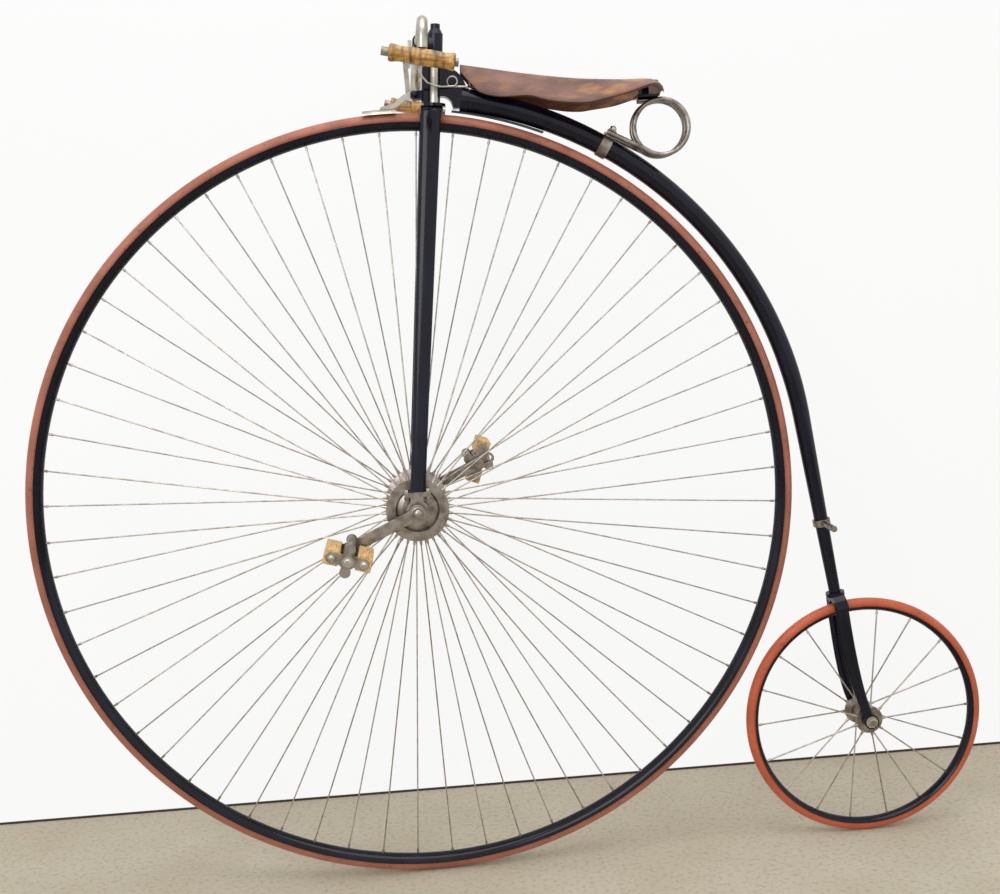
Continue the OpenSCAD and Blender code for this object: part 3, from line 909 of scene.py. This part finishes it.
def fasteners(
    name: str,
    body: str,
    finish: Finish,
    places: list[tuple[Vector, Vector]],
    head: Head,
    radius: float,
    height: float,
    washer: float = 0,
    taper: float = 0.85,
) -> bpy.types.Object:
    """Sets a row of like fasteners on one body.

    Args:
        name: The piece's name.
        body: The body that it rides on.
        finish: Its finish.
        places: Seat point and outward direction of each.
        head: The kind of head.
        radius: Radius of a head in mm.
        height: Height of a head in mm.
        washer: Radius of the washers in mm, or 0 for a bare head.
        taper: Share of the head's radius that is left at its top.

    Returns:
        The piece.
    """
    seed = bpy.data.meshes.new(f"{name}_places")
    seed.from_pydata([tuple(place) for place, _ in places], [], [])
    facing = seed.attributes.new("facing", "FLOAT_VECTOR", "POINT")
    ways = [way.normalized() for _, way in places]
    facing.data.foreach_set("vector", [value for way in ways for value in way])
    mesh = Trees.grow(
        "fasteners",
        name,
        seed,
        {
            "Head Radius": radius * MM,
            "Head Height": height * MM,
            "Head Sides": head.value,
            "Taper": taper,
            "Washer Radius": max(washer, radius * 0.8) * MM,
            "Washer Height": (1.2 if washer else 0.2) * MM,
            "Material": finish.material(),
        },
    )
    return finished(name, mesh, body, finish, 30)


def wire(
    name: str,
    body: str,
    finish: Finish,
    path: list[Vector],
    radii: list[float],
    sides: int = 16,
) -> bpy.types.Object:
    """Sweeps a round bar or tube along a path.

    Args:
        name: The piece's name.
        body: The body that it rides on.
        finish: Its finish.
        path: The path's points.
        radii: Radius at each point, in metres.
        sides: Number of sides of the section.

    Returns:
        The piece.
    """
    seed = bpy.data.meshes.new(f"{name}_line")
    seed.from_pydata(
        [tuple(p) for p in path], [(i, i + 1) for i in range(len(path) - 1)], []
    )
    thickness = seed.attributes.new("thickness", "FLOAT", "POINT")
    thickness.data.foreach_set("value", radii)
    mesh = Trees.grow(
        "round_wire", name, seed, {"Sides": sides, "Material": finish.material()}
    )
    return finished(name, mesh, body, finish, 60)


# ------------------------------------------------------------------ the bicycle
@dataclass
class Layout:
    """Driving places of the bicycle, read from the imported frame, and the arc that
    the backbone follows, in mm."""

    front_axle: Vector
    rear_axle: Vector
    left_pin: Vector
    right_pin: Vector
    floor: float
    arc_radius: float = 690.0
    arc_drop: float = 3.0

    @classmethod
    def read(cls) -> "Layout":
        """Reads the places from the joints and the object's own box."""
        places = {name: Vector(joint["pos_m"]) for name, joint in JOINTS.items()}
        return cls(
            front_axle=places["front_wheel_spin"],
            rear_axle=places["rear_wheel_spin"],
            left_pin=places["left_pedal_spin"],
            right_pin=places["right_pedal_spin"],
            floor=CAD_BOX[0].z,
        )

    @property
    def arc_centre(self) -> Vector:
        """The centre of the backbone's arc, just under the front axle."""
        return self.front_axle - Vector((0, 0, self.arc_drop * MM))

    def arc(self, angle: float, outside: float = 0) -> Vector:
        """Returns a point of the backbone's arc.

        Args:
            angle: Its angle above level in degrees.
            outside: How far outside the arc it is, in mm.

        Returns:
            The point.
        """
        a, radius = math.radians(angle), (self.arc_radius + outside) * MM
        return self.arc_centre + Vector((radius * math.cos(a), 0, radius * math.sin(a)))


@dataclass
class Wheel:
    """A wire wheel with a solid tyre set in a crescent rim."""

    name: str
    body: str
    centre: Vector
    rubber: Finish
    rim_depth: float
    rim_radius: float
    spokes: int
    first_angle: float
    flange_radius: float
    flange_gap: float
    rim_offset: float
    steps: int = 240

    def __post_init__(self) -> None:
        """Reads the tyre's size from its node."""
        low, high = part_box(f"{self.name}_tyre")
        self.radius = (high[0] - low[0]) / 2
        self.section = (high[1] - low[1]) / 2
        self.tyre_centre = self.radius - self.section

    def build(self) -> None:
        """Builds the whole wheel."""
        self.tyre()
        self.rim()
        self.fittings()
        dress(WIRE, f"{self.name}_spokes")

    def tyre(self) -> None:
        """Turns the tyre, which is round in section."""
        count = 28
        profile = [
            (
                self.tyre_centre + self.section * math.cos(2 * math.pi * i / count),
                self.section * math.sin(2 * math.pi * i / count),
            )
            for i in range(count)
        ]
        mesh = turned(f"{self.name}_tyre_solid", profile, self.centre, self.steps)
        piece = finished(mesh.name, mesh, self.body, self.rubber)
        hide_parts(f"{self.name}_tyre")

    def rim(self) -> None:
        """Turns the crescent rim, with rolled lips beside the tyre."""
        inner = self.radius - self.rim_depth * MM
        centre = inner + self.rim_radius * MM
        lip = self.tyre_centre - self.section * 0.45
        reach = math.acos((lip - centre) / (self.rim_radius * MM))
        outer = [
            (
                centre + self.rim_radius * MM * math.cos(a),
                self.rim_radius * MM * math.sin(a),
            )
            for a in (mix(reach, 2 * math.pi - reach, i / 24) for i in range(25))
        ]
        seat = self.section + 0.3 * MM
        open_to = math.acos((lip - self.tyre_centre) / seat)
        bed = [
            (self.tyre_centre + seat * math.cos(a), seat * math.sin(a))
            for a in (mix(2 * math.pi - open_to, open_to, i / 14) for i in range(15))
        ]
        mesh = turned(f"{self.name}_rim_crescent", outer + bed, self.centre, self.steps)
        piece = finished(mesh.name, mesh, self.body, ENAMEL, 40)
        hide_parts(f"{self.name}_rim")

    def fittings(self) -> None:
        """Screws a sleeve onto both ends of every spoke."""
        inner = self.radius - self.rim_depth * MM
        flange, half_gap = self.flange_radius * MM, self.flange_gap / 2 * MM
        run = inner - flange
        drop = (self.rim_offset - self.flange_gap / 2) * MM
        sizes = {
            "rim_nipples": (inner, self.rim_offset * MM, 2.4, 7, -1),
            "hub_sleeves": (flange, half_gap, 2.9, 9, 1),
        }
        for label, (distance, offset, radius, length, way) in sizes.items():
            shift = -length * MM if way < 0 else -2 * MM
            mesh = Trees.grow(
                "spoke_fittings",
                f"{self.name}_{label}",
                bpy.data.meshes.new("empty"),
                {
                    "Count": self.spokes,
                    "First Angle": math.radians(self.first_angle),
                    "Distance": distance + shift,
                    "Offset": offset + drop / run * shift,
                    "Lean": drop / run,
                    "Radius": radius * MM,
                    "Length": length * MM,
                    "Centre": tuple(self.centre),
                    "Material": WIRE.material(),
                },
            )
            finished(mesh.name, mesh, self.body, WIRE, 50)


@dataclass
class Drive:
    """Front hub, bearings, cranks and the two rat-trap pedals."""

    layout: Layout
    left_lean: float = 16.7
    right_lean: float = -70.0
    block_offset: float = 26.5
    block_width: float = 25.0
    cap: float = 5.0
    bolt_spread: float = 17.5
    plate: float = 8.0
    ribs: int = 5

    def build(self) -> None:
        """Builds the hub's and the pedals' fine parts."""
        dress(STEEL, "front_hub", "front_axle", "pedal_pins")
        softened("front_bearings", STEEL, 0.8)
        for side in Side:
            softened(f"{side.word}_crank", STEEL, 0.7)
            softened(f"{side.word}_pedal", STEEL, 0.6)
            self.blocks(side)
            self.acorns(side)
        self.foot_bolts()
        self.axle_ends()

    def lean(self, side: Side) -> float:
        """Returns a pedal's lean from level in radians, rear side down."""
        return math.radians(self.left_lean if side is Side.LEFT else self.right_lean)

    def across(self, side: Side) -> tuple[Vector, Vector]:
        """Returns a pedal's own directions, across its blocks and upwards."""
        lean = self.lean(side)
        return (
            Vector((math.cos(lean), 0, -math.sin(lean))),
            Vector((math.sin(lean), 0, math.cos(lean))),
        )

    def pin(self, side: Side) -> Vector:
        """Returns the axis of a pedal at the middle plane of the bicycle."""
        place = self.layout.left_pin if side is Side.LEFT else self.layout.right_pin
        return Vector((place.x, 0, place.z))

    def blocks(self, side: Side) -> None:
        """Casts each pedal's two rubber blocks, with ribs along their faces."""
        node = f"{side.word}_pedal_rubbers"
        low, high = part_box(node)
        right, up = self.across(side)
        half = self.block_width / 2 * MM
        outline = self.ribbed_square(half)
        inset = 1.2 * MM
        ends = [
            (low[1], 0.94),
            (low[1] + inset, 1),
            (high[1] - inset, 1),
            (high[1], 0.94),
        ]
        verts, faces = [], []
        count = len(outline)
        for offset in (-self.block_offset, self.block_offset):
            first = len(verts)
            middle = self.pin(side) + right * offset * MM
            for y, scale in ends:
                verts += [
                    middle + right * a * scale + up * b * scale + Vector((0, y, 0))
                    for a, b in outline
                ]
            faces += bands(len(ends), count, first)
            for start in (first, first + (len(ends) - 1) * count):
                faces.append(tuple(start + i for i in range(count)))
        mesh = outward(f"{side.word}_pedal_blocks", verts, faces)
        piece = finished(mesh.name, mesh, f"{side.word}_pedal_body", GUM, 40)
        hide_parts(node)

    def ribbed_square(self, half: float) -> Profile:
        """Draws a square with rounded corners and shallow grooves in each side.

        Args:
            half: Half the square's side in metres.

        Returns:
            The outline's points, in order.
        """
        corner, groove = 2.2 * MM, 0.9 * MM
        flat = half - corner
        side_points = []
        for i in range(self.ribs * 4 + 1):
            t = i / (self.ribs * 4)
            dip = groove * max(0.0, math.sin(self.ribs * 2 * math.pi * t)) ** 0.5
            side_points.append((mix(-flat, flat, t), -half + dip))
        side_points += [
            (
                flat + corner * math.sin(math.pi / 2 * k / 4),
                -flat - corner * math.cos(math.pi / 2 * k / 4),
            )
            for k in range(1, 4)
        ]
        outline: Profile = []
        for quarter in range(4):
            c, s = [(1, 0), (0, 1), (-1, 0), (0, -1)][quarter]
            outline += [(x * c - y * s, x * s + y * c) for x, y in side_points]
        return outline

    def acorns(self, side: Side) -> None:
        """Caps the bolts that hold the blocks with acorn nuts."""
        low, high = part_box(f"{side.word}_pedal")
        right, _ = self.across(side)
        end = low[1] if side is Side.LEFT else high[1]
        outer = Vector((0, end - side.value * self.cap * MM, 0))
        way = Vector((0, side.value, 0))
        places = [
            (self.pin(side) + right * s * self.block_offset * MM + outer, way)
            for s in (-1, 1)
        ]
        body = f"{side.word}_pedal_body"
        name = f"{side.word}_pedal_acorns"
        fasteners(name, body, BRIGHT, places, Head.DOME, 4.6, 5.5, 6.5, 0.5)
        places = [(self.pin(side) + Vector((0, end, 0)), way)]
        name = f"{side.word}_pedal_nut"
        fasteners(name, body, BRIGHT, places, Head.HEXAGON, 5.6, 3.2, 8.6, 0.7)

    def foot_bolts(self) -> None:
        """Bolts the fork's feet to the bearing plates."""
        low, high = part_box("front_bearings")
        side_y = abs(low[1]) - 7.5 * MM
        middle = self.layout.front_axle.x + 1.3 * MM
        reach = self.bolt_spread * MM
        up = Vector((0, 0, 1))
        places = [
            (Vector((middle + dx * reach, side.value * side_y, high[2])), up)
            for dx in (-1, 1)
            for side in Side
        ]
        fasteners("fork_foot_bolts", "fork", BRIGHT, places, Head.HEXAGON, 4.4, 4.5, 0)
        under = [(place - way * self.plate * MM, -way) for place, way in places]
        fasteners("fork_foot_nuts", "fork", STEEL, under, Head.HEXAGON, 4.8, 5, 0)

    def axle_ends(self) -> None:
        """Closes each end of the front axle with a domed cap in a ring."""
        low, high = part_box("front_axle")
        for side in Side:
            end = low[1] if side is Side.LEFT else high[1]
            profile = [
                (11.5, 0), (11.5, 1.2), (10.6, 1.8), (9.2, 1.8), (8.6, 0.9), (7.4, 0.9),
                (7.0, 2.4), (5.6, 3.6), (3.0, 4.4), (0.01, 4.7),
            ]
            points = [
                (r * MM, end + side.value * y * MM) for r, y in profile
            ]
            mesh = turned(
                f"{side.word}_axle_cap", points, Vector((self.layout.front_axle.x, 0,
                self.layout.front_axle.z)), 48, False
            )
            finished(mesh.name, mesh, "front_wheel", STEEL, 40)


@dataclass
class Front:
    """Fork, steering head, handlebar, grips and brake."""

    layout: Layout
    grip_profile: tuple[tuple[float, float], ...] = (
        (0, 10.8), (0.02, 12.9), (0.06, 13.1), (0.1, 12.2), (0.16, 11.3), (0.26, 11.6),
        (0.34, 12.2), (0.385, 12.5), (0.4, 11.7), (0.415, 12.6), (0.46, 12.9),
        (0.5, 11.8), (0.515, 12.7), (0.56, 12.8), (0.575, 11.8), (0.6, 12.4),
        (0.7, 12.0), (0.82, 11.3), (0.9, 11.9), (0.95, 12.9), (0.985, 12.8), (1, 10.6),
    )
    grip_tilt: float = 11.5

    def build(self) -> None:
        """Builds the steered parts."""
        softened("fork_legs", ENAMEL, 0)
        softened("fork_crown", ENAMEL, 0.8)
        softened("head_web", ENAMEL, 0.8)
        softened("head_socket", ENAMEL, 1.0)
        dress(ENAMEL, "head_bolt")
        dress(NICKEL, "handlebar")
        dress(STEEL, "grip_rods")
        softened("brake_spoon", NICKEL, 0.6)
        softened("brake_rod", STEEL, 0.7)
        softened("brake_lever", NICKEL, 0.7)
        for side in Side:
            self.grip(side)

    def grip(self, side: Side) -> None:
        """Turns a grip with beads at its middle and flares at its ends."""
        node = f"{side.word}_grip"
        low, high = (Vector(corner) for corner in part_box(node))
        middle = (low + high) / 2
        tilt = math.radians(self.grip_tilt)
        reach = (high.x - low.x) / 2
        widest = (high.y - low.y) / 2
        half = (reach - widest * math.sin(tilt)) / math.cos(tilt)
        along = Vector((math.cos(tilt), 0, -math.sin(tilt)))
        upward = Vector((math.sin(tilt), 0, math.cos(tilt)))
        sides = 40
        rings = [
            (t, smooth_table(list(self.grip_profile), t) * MM)
            for t in (i / 90 for i in range(91))
        ]
        rings = [(0.0, 3 * MM), *rings, (1.0, 3 * MM)]
        verts = [
            middle
            + along * mix(-half, half, t)
            + (upward * math.cos(a) + Vector((0, 1, 0)) * math.sin(a)) * r
            for t, r in rings
            for a in (2 * math.pi * k / sides for k in range(sides))
        ]
        faces = bands(len(rings), sides)
        for start in (0, (len(rings) - 1) * sides):
            faces.append(tuple(start + k for k in range(sides)))
        mesh = outward(f"{side.word}_grip_turned", verts, faces)
        piece = finished(mesh.name, mesh, "fork", HORN, 50)
        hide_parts(node)


@dataclass
class Frame:
    """Backbone, neck, rear fork, step and guard."""

    layout: Layout
    neck_angle: float = 79.0
    thick: tuple[float, float, float] = (38.0, 32.0, 20.0)
    crown_lean: float = 11.2

    def build(self) -> None:
        """Builds the frame."""
        self.backbone()
        dress(NICKEL, "steering_spindle")
        softened("neck", ENAMEL, 1.2)
        softened("rear_fork", ENAMEL, 0)
        softened("mounting_step", STEEL, 0.8)
        dress(STEEL, "rear_axle", "rear_hub")
        dress(BRUSHED_BLACK, "tyre_guard")
        self.axle_nuts()

    def backbone(self) -> None:
        """Bends the tapered tube: an arc round the front wheel, then straight."""
        rear = self.layout.rear_axle
        crown = (rear.z - self.layout.floor) + 20 * MM
        lean = math.radians(self.crown_lean)
        end = rear + Vector((-crown * math.sin(lean), 0, crown * math.cos(lean)))
        from_centre = end - self.layout.arc_centre
        turn = math.degrees(
            math.atan2(from_centre.z, from_centre.x)
            + math.acos(self.layout.arc_radius * MM / from_centre.length)
        )
        steps = 120
        bend = [
            self.layout.arc(mix(self.neck_angle, turn, i / steps))
            for i in range(steps + 1)
        ]
        straight = [bend[-1].lerp(end, k / 20) for k in range(1, 21)]
        path = bend + straight
        run = [0.0]
        for a, b in zip(path, path[1:]):
            run.append(run[-1] + (b - a).length)
        wide, middle, slim = self.thick
        table = [
            (0, wide),
            (0.2, mix(wide, middle, 0.6)),
            (0.4, middle),
            (0.65, middle * 0.985),
            (1, slim),
        ]
        radii = []
        for s in run:
            share = s / run[-1]
            i = max(k for k in range(len(table) - 1) if table[k][0] <= share or k == 0)
            (x0, y0), (x1, y1) = table[i], table[i + 1]
            radii.append(mix(y0, y1, (share - x0) / (x1 - x0)) / 2 * MM)
        piece = wire("backbone_tube", "frame", ENAMEL, path, radii, 40)
        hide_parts("backbone")

    def axle_nuts(self) -> None:
        """Nuts on both ends of the rear axle."""
        low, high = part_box("rear_axle")
        seat = 8 * MM
        places = [
            (Vector((self.layout.rear_axle.x, low[1] + seat, self.layout.rear_axle.z)),
             Vector((0, -1, 0))),
            (Vector((self.layout.rear_axle.x, high[1] - seat, self.layout.rear_axle.z)),
             Vector((0, 1, 0))),
        ]
        fasteners(
            "rear_axle_nuts", "frame", BRIGHT, places, Head.HEXAGON, 7.5, 6.5, 10.5, 0.8
        )


@dataclass
class Saddle:
    """Hammock saddle: a stretched hide on a nose bracket and a coil at the tail."""

    layout: Layout
    coil_angle: float = 53.6
    coil_offset: float = 75.0
    coil_radius: float = 46.0
    wire_radius: float = 4.0
    coil_lean: float = 36.5
    wire_y: float = 19.0
    wire_rise: float = 21.0
    coil_shift: float = 13.6
    clip_angle: float = 58.8
    clip_sink: float = 4.2
    hide: float = 4.5
    width: float = 184.0
    ridge: tuple[tuple[float, float], ...] = (
        (0, 34), (0.15, 24.5), (0.3, 15), (0.5, 4.5), (0.615, 0), (0.8, -5.5),
        (0.94, -9), (1, -22),
    )
    half: tuple[tuple[float, float], ...] = (
        (0, 0.15), (0.05, 0.24), (0.18, 0.39), (0.31, 0.48), (0.5, 0.57), (0.64, 0.67),
        (0.8, 0.88), (0.9, 0.9), (0.97, 0.6), (1, 0.22),
    )
    drop: tuple[tuple[float, float], ...] = (
        (0, 14), (0.041, 30), (0.085, 44), (0.18, 48), (0.325, 41), (0.396, 45),
        (0.515, 47), (0.61, 45), (0.66, 41), (0.775, 31), (0.84, 24), (0.92, 15),
        (1, 6),
    )

    def __post_init__(self) -> None:
        """Reads the hide's place from its node."""
        self.low, self.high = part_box("saddle_leather")

    def build(self) -> None:
        """Builds the saddle and its springs."""
        self.leather()
        self.coil()
        dress(NICKEL, "front_saddle_wire")
        softened("saddle_nose", ENAMEL, 0.6)
        softened("saddle_cantle", ENAMEL, 0)
        softened("saddle_clip", STEEL, 0.8)
        self.rivets()
        self.clip_nut()

    def top(self, t: float, u: float, deep: float) -> Vector:
        """Returns a point of the hide.

        Args:
            t: Share of the length from the nose.
            u: Place across, from -1 on the left edge to 1 on the right one.
            deep: Depth under the upper face in mm.

        Returns:
            The point.
        """
        ridge = smooth_table(list(self.ridge), t)
        half = smooth_table(list(self.half), t) * self.width / 2
        drop = smooth_table(list(self.drop), t)
        slope = drop * 2.5 * abs(u) ** 1.5 / half * (1 if u > 0 else -1)
        size = math.hypot(slope, 1)
        ripple = 0.8 * math.sin(t * 21 + 1.3) * abs(u) ** 3
        return Vector(
            (
                mix(self.low[0], self.high[0], t),
                (u * half - deep * slope / size + ripple) * MM,
                (ridge - drop * abs(u) ** 2.5 - deep / size) * MM,
            )
        )

    def leather(self) -> None:
        """Moulds the hide as one closed sheet with a rounded, oiled edge."""
        rows, strips = 84, 56
        ring = [(2 * j / strips - 1, 0.0) for j in range(strips + 1)]
        ring += [(1 - 2 * j / strips, self.hide) for j in range(strips + 1)]
        count = len(ring)
        verts = [
            self.top(i / rows, u * (1 - 0.002 * (deep > 0)), deep)
            for i in range(rows + 1)
            for u, deep in ring
        ]
        faces = bands(rows + 1, count)
        for i in (0, rows):
            faces += [
                (
                    i * count + j,
                    i * count + j + 1,
                    i * count + count - 2 - j,
                    i * count + count - 1 - j,
                )
                for j in range(strips)
            ]
        mesh = outward("saddle_hide", verts, faces)
        edge = mesh.attributes.new("edge", "FLOAT", "POINT")
        low, high = self.low, self.high
        values = []
        for vertex in mesh.vertices:
            t = (vertex.co.x - low[0]) / (high[0] - low[0])
            across = smooth_table(list(self.half), min(max(t, 0), 1))
            half = across * self.width / 2 * MM
            near = max(abs(vertex.co.y) / half, abs(2 * t - 1))
            values.append(min(1.0, max(0.0, (near - 0.93) / 0.06)) * 0.8)
        edge.data.foreach_set("value", values)
        piece = finished("saddle_hide", mesh, "frame", HIDE, 70)
        ease = piece.modifiers.new("rounded_edge", "BEVEL")
        ease.width = 1.4 * MM
        ease.segments = 3
        ease.angle_limit = math.radians(60)
        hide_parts("saddle_leather")

    def rivets(self) -> None:
        """Rivets the tail of the hide down to its cantle."""
        places = [
            (self.top(0.955, u, 0), Vector((0.25, u * 0.5, 1)))
            for u in (-0.55, 0, 0.55)
        ]
        fasteners("tail_rivets", "frame", STEEL, places, Head.DOME, 3.2, 1.6, 0, 0.55)

    def clip_nut(self) -> None:
        """Screws a nut down on top of the clip that holds the spring."""
        centre = self.layout.arc_centre
        way = (self.layout.arc(self.clip_angle) - centre).normalized()
        _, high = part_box("saddle_clip")
        reach = (high[2] - centre.z) / way.z - self.clip_sink * MM
        places = [(centre + way * reach, way)]
        fasteners("clip_nut", "frame", BRIGHT, places, Head.HEXAGON, 5.5, 7, 7, 0.5)

    def coil(self) -> None:
        """Winds the rear spring: a coil and a half of round wire on each side."""
        centre = self.layout.arc(self.coil_angle, self.coil_offset)
        lean = math.radians(self.coil_lean)
        way = Vector((math.sin(lean), 0, math.cos(lean)))
        low = centre - self.coil_radius * MM * way
        start = self.layout.arc(self.clip_angle + 0.7, self.wire_rise)
        turn, steps = 540 + self.coil_lean, 180
        for side in Side:
            shift = Vector((0, side.value * self.wire_y * MM, 0))
            path = [start.lerp(low, k / 12) + shift for k in range(12)]
            for k in range(steps + 1):
                t = k / steps
                a = math.radians(-90 - self.coil_lean + turn * t)
                x, z = self.coil_radius * math.cos(a), self.coil_radius * math.sin(a)
                y = side.value * (self.wire_y - self.coil_shift * t)
                path.append(centre + Vector((x, y, z)) * MM)
            y = side.value * (self.wire_y - self.coil_shift)
            path += [
                centre + Vector((-x, y, self.coil_radius)) * MM for x in (6, 12, 24, 36)
            ]
            radii = [self.wire_radius * MM] * len(path)
            piece = wire(f"{side.word}_tail_spring", "frame", STEEL, path, radii)
            if side is Side.LEFT:
                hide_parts("rear_saddle_springs")


@dataclass
class Studio:
    """A plain pale floor, a white backdrop, soft lamps and the camera."""

    layout: Layout
    lens: float = 47.55
    eye: tuple[float, float, float] = (-0.33902, -2.25842, -0.33092)
    yaw: float = 4.013
    pitch: float = 7.05
    roll: float = -3.576
    wall_y: float = 0.366
    wall_turn: float = -1.16
    sky: float = 0.6
    floor_half: float = 6.0
    floor_colour: str = "#cec5b2"
    wall_colour: str = "#f2f2f3"

    def build(self) -> None:
        """Builds the surroundings."""
        self.camera()
        self.world()
        self.floor()
        self.wall()
        self.lamps()
        bpy.context.scene.view_settings.view_transform = "Standard"

    def camera(self) -> None:
        """Places the camera at the side, a little below the saddle."""
        yaw, pitch, roll = (math.radians(a) for a in (self.yaw, self.pitch, self.roll))
        ahead = Vector(
            (
                math.sin(yaw) * math.cos(pitch),
                math.cos(yaw) * math.cos(pitch),
                -math.sin(pitch),
            )
        )
        right = Vector((math.cos(yaw), -math.sin(yaw), 0))
        up = right.cross(ahead)
        rolled_right = right * math.cos(roll) + up * math.sin(roll)
        rolled_up = up * math.cos(roll) - right * math.sin(roll)
        data = bpy.data.cameras.new("side_camera")
        data.lens = self.lens
        data.sensor_width = 36
        camera = bpy.data.objects.new("side_camera", data)
        turn = Matrix((rolled_right, rolled_up, -ahead)).transposed()
        camera.matrix_world = Matrix.Translation(Vector(self.eye)) @ turn.to_4x4()
        bpy.context.scene.collection.objects.link(camera)
        bpy.context.scene.camera = camera

    def world(self) -> None:
        """Lights all round with an even white that the camera sees as white."""
        world = bpy.data.worlds.new("white_studio")
        world.use_nodes = True
        tree = world.node_tree
        tree.nodes.clear()
        rays = add(tree, "ShaderNodeLightPath").outputs
        seen = maths(tree, "MAXIMUM", rays["Is Camera Ray"], rays["Is Glossy Ray"])
        paint = "ShaderNodeBackground"
        even, white = (
            add(tree, paint, {"Color": WHITE, "Strength": strength}).outputs[0]
            for strength in (self.sky, 1.0)
        )
        both = add(tree, "ShaderNodeMixShader", {0: seen, 1: even, 2: white})
        add(tree, "ShaderNodeOutputWorld", {"Surface": both.outputs[0]})
        bpy.context.scene.world = world

    def panel(self, name: str, corners: list, material: bpy.types.Material) -> None:
        """Adds one flat panel of the surroundings."""
        mesh = bpy.data.meshes.new(name)
        mesh.from_pydata(corners, [], [(0, 1, 2, 3)])
        mesh.materials.append(material)
        panel = bpy.data.objects.new(name, mesh)
        bpy.context.scene.collection.objects.link(panel)

    def floor(self) -> None:
        """Lays a pale, slightly mottled concrete floor."""
        material = empty_material("pale_concrete")
        tree = material.node_tree
        cloud = patches(tree, 260, 0.3, 0.7, detail=8)
        grit = patches(tree, 9, 0.5, 0.8, detail=6)
        colour = blend(
            tree, grit, blend(tree, cloud, self.floor_colour, "#bfb59f"), "#a39985"
        )
        shader = add(
            tree, "ShaderNodeBsdfPrincipled", {"Base Color": colour, "Roughness": 0.75}
        )
        add(tree, "ShaderNodeOutputMaterial", {"Surface": shader.outputs[0]})
        corners = [
            (x * self.floor_half, y * self.floor_half, self.layout.floor)
            for x, y in ((-1, -1), (1, -1), (1, 1), (-1, 1))
        ]
        self.panel("floor", corners, material)

    def one_sided(self, name: str, colour: str, glow: float) -> bpy.types.Material:
        """Makes a matt material that is clear from its back.

        Args:
            name: The material's name.
            colour: Its colour.
            glow: Share of even white that the camera sees in its place.

        Returns:
            The material.
        """
        material = empty_material(name)
        tree = material.node_tree
        rays = add(tree, "ShaderNodeLightPath").outputs
        facing = add(tree, "ShaderNodeNewGeometry").outputs["Backfacing"]
        matt = add(tree, "ShaderNodeBsdfDiffuse", {"Color": linear(colour)}).outputs[0]
        white = add(tree, "ShaderNodeEmission", {"Color": WHITE}).outputs[0]
        share = maths(tree, "MULTIPLY", rays["Is Camera Ray"], glow)
        blend = "ShaderNodeMixShader"
        front = add(tree, blend, {0: share, 1: matt, 2: white}).outputs[0]
        clear = add(tree, "ShaderNodeBsdfTransparent").outputs[0]
        shown = add(tree, blend, {0: facing, 1: front, 2: clear}).outputs[0]
        add(tree, "ShaderNodeOutputMaterial", {"Surface": shown})
        return material

    def wall(self) -> None:
        """Stands a white board behind, with a dark strip of painted shade along its foot,
        where it meets the floor.
        """
        slope = math.tan(math.radians(self.wall_turn))
        z = self.layout.floor
        for name, material, top, ahead in (
            ("board", self.one_sided("white_board", self.wall_colour, 0.85), 2.6, 0.0),
            # The foot strip is painted shade: a dark sheet just in front of the board,
            # along the line where the board meets the floor.
            ("board_foot", self.one_sided("dark_gap", "#4a463f", 0.0), 0.005, MM),
        ):
            self.panel(
                name,
                [
                    (x, self.wall_y - ahead + slope * x, h)
                    for x, h in ((-2.4, z), (2.6, z), (2.6, z + top), (-2.4, z + top))
                ],
                material,
            )

    def lamps(self) -> None:
        """Hangs two large soft lamps, above and in front."""
        for name, place, size, power in (
            ("overhead", (0.0, -0.9, 1.9), 2.6, 34),
            ("front_fill", (-1.6, -3.0, 0.7), 1.8, 26),
        ):
            data = bpy.data.lights.new(name, "AREA")
            data.shape = "DISK"
            data.size = size
            data.energy = power
            lamp = bpy.data.objects.new(name, data)
            lamp.location = place
            aim = Vector((0.1, 0, -0.6)) - Vector(place)
            lamp.rotation_mode = "QUATERNION"
            lamp.rotation_quaternion = aim.to_track_quat("-Z", "Y")
            bpy.context.scene.collection.objects.link(lamp)


def main() -> None:
    """Builds the bicycle's sub-assemblies in order."""
    logging.basicConfig(level=logging.INFO, format="%(name)s %(message)s")
    layout = Layout.read()
    Studio(layout).build()
    Wheel(
        name="front",
        body="front_wheel",
        centre=layout.front_axle,
        rubber=FRONT_RUBBER,
        rim_depth=29.5,
        rim_radius=15.0,
        spokes=64,
        first_angle=1.8,
        flange_radius=53.0,
        flange_gap=127.0,
        rim_offset=4.0,
    ).build()
    Wheel(
        name="rear",
        body="rear_wheel",
        centre=layout.rear_axle,
        rubber=REAR_RUBBER,
        rim_depth=21.8,
        rim_radius=12.5,
        spokes=18,
        first_angle=1.3,
        flange_radius=24.5,
        flange_gap=56.0,
        rim_offset=3.0,
        steps=160,
    ).build()
    Drive(layout).build()
    Front(layout).build()
    Frame(layout).build()
    Saddle(layout).build()


if __name__ == "__main__":
    main()
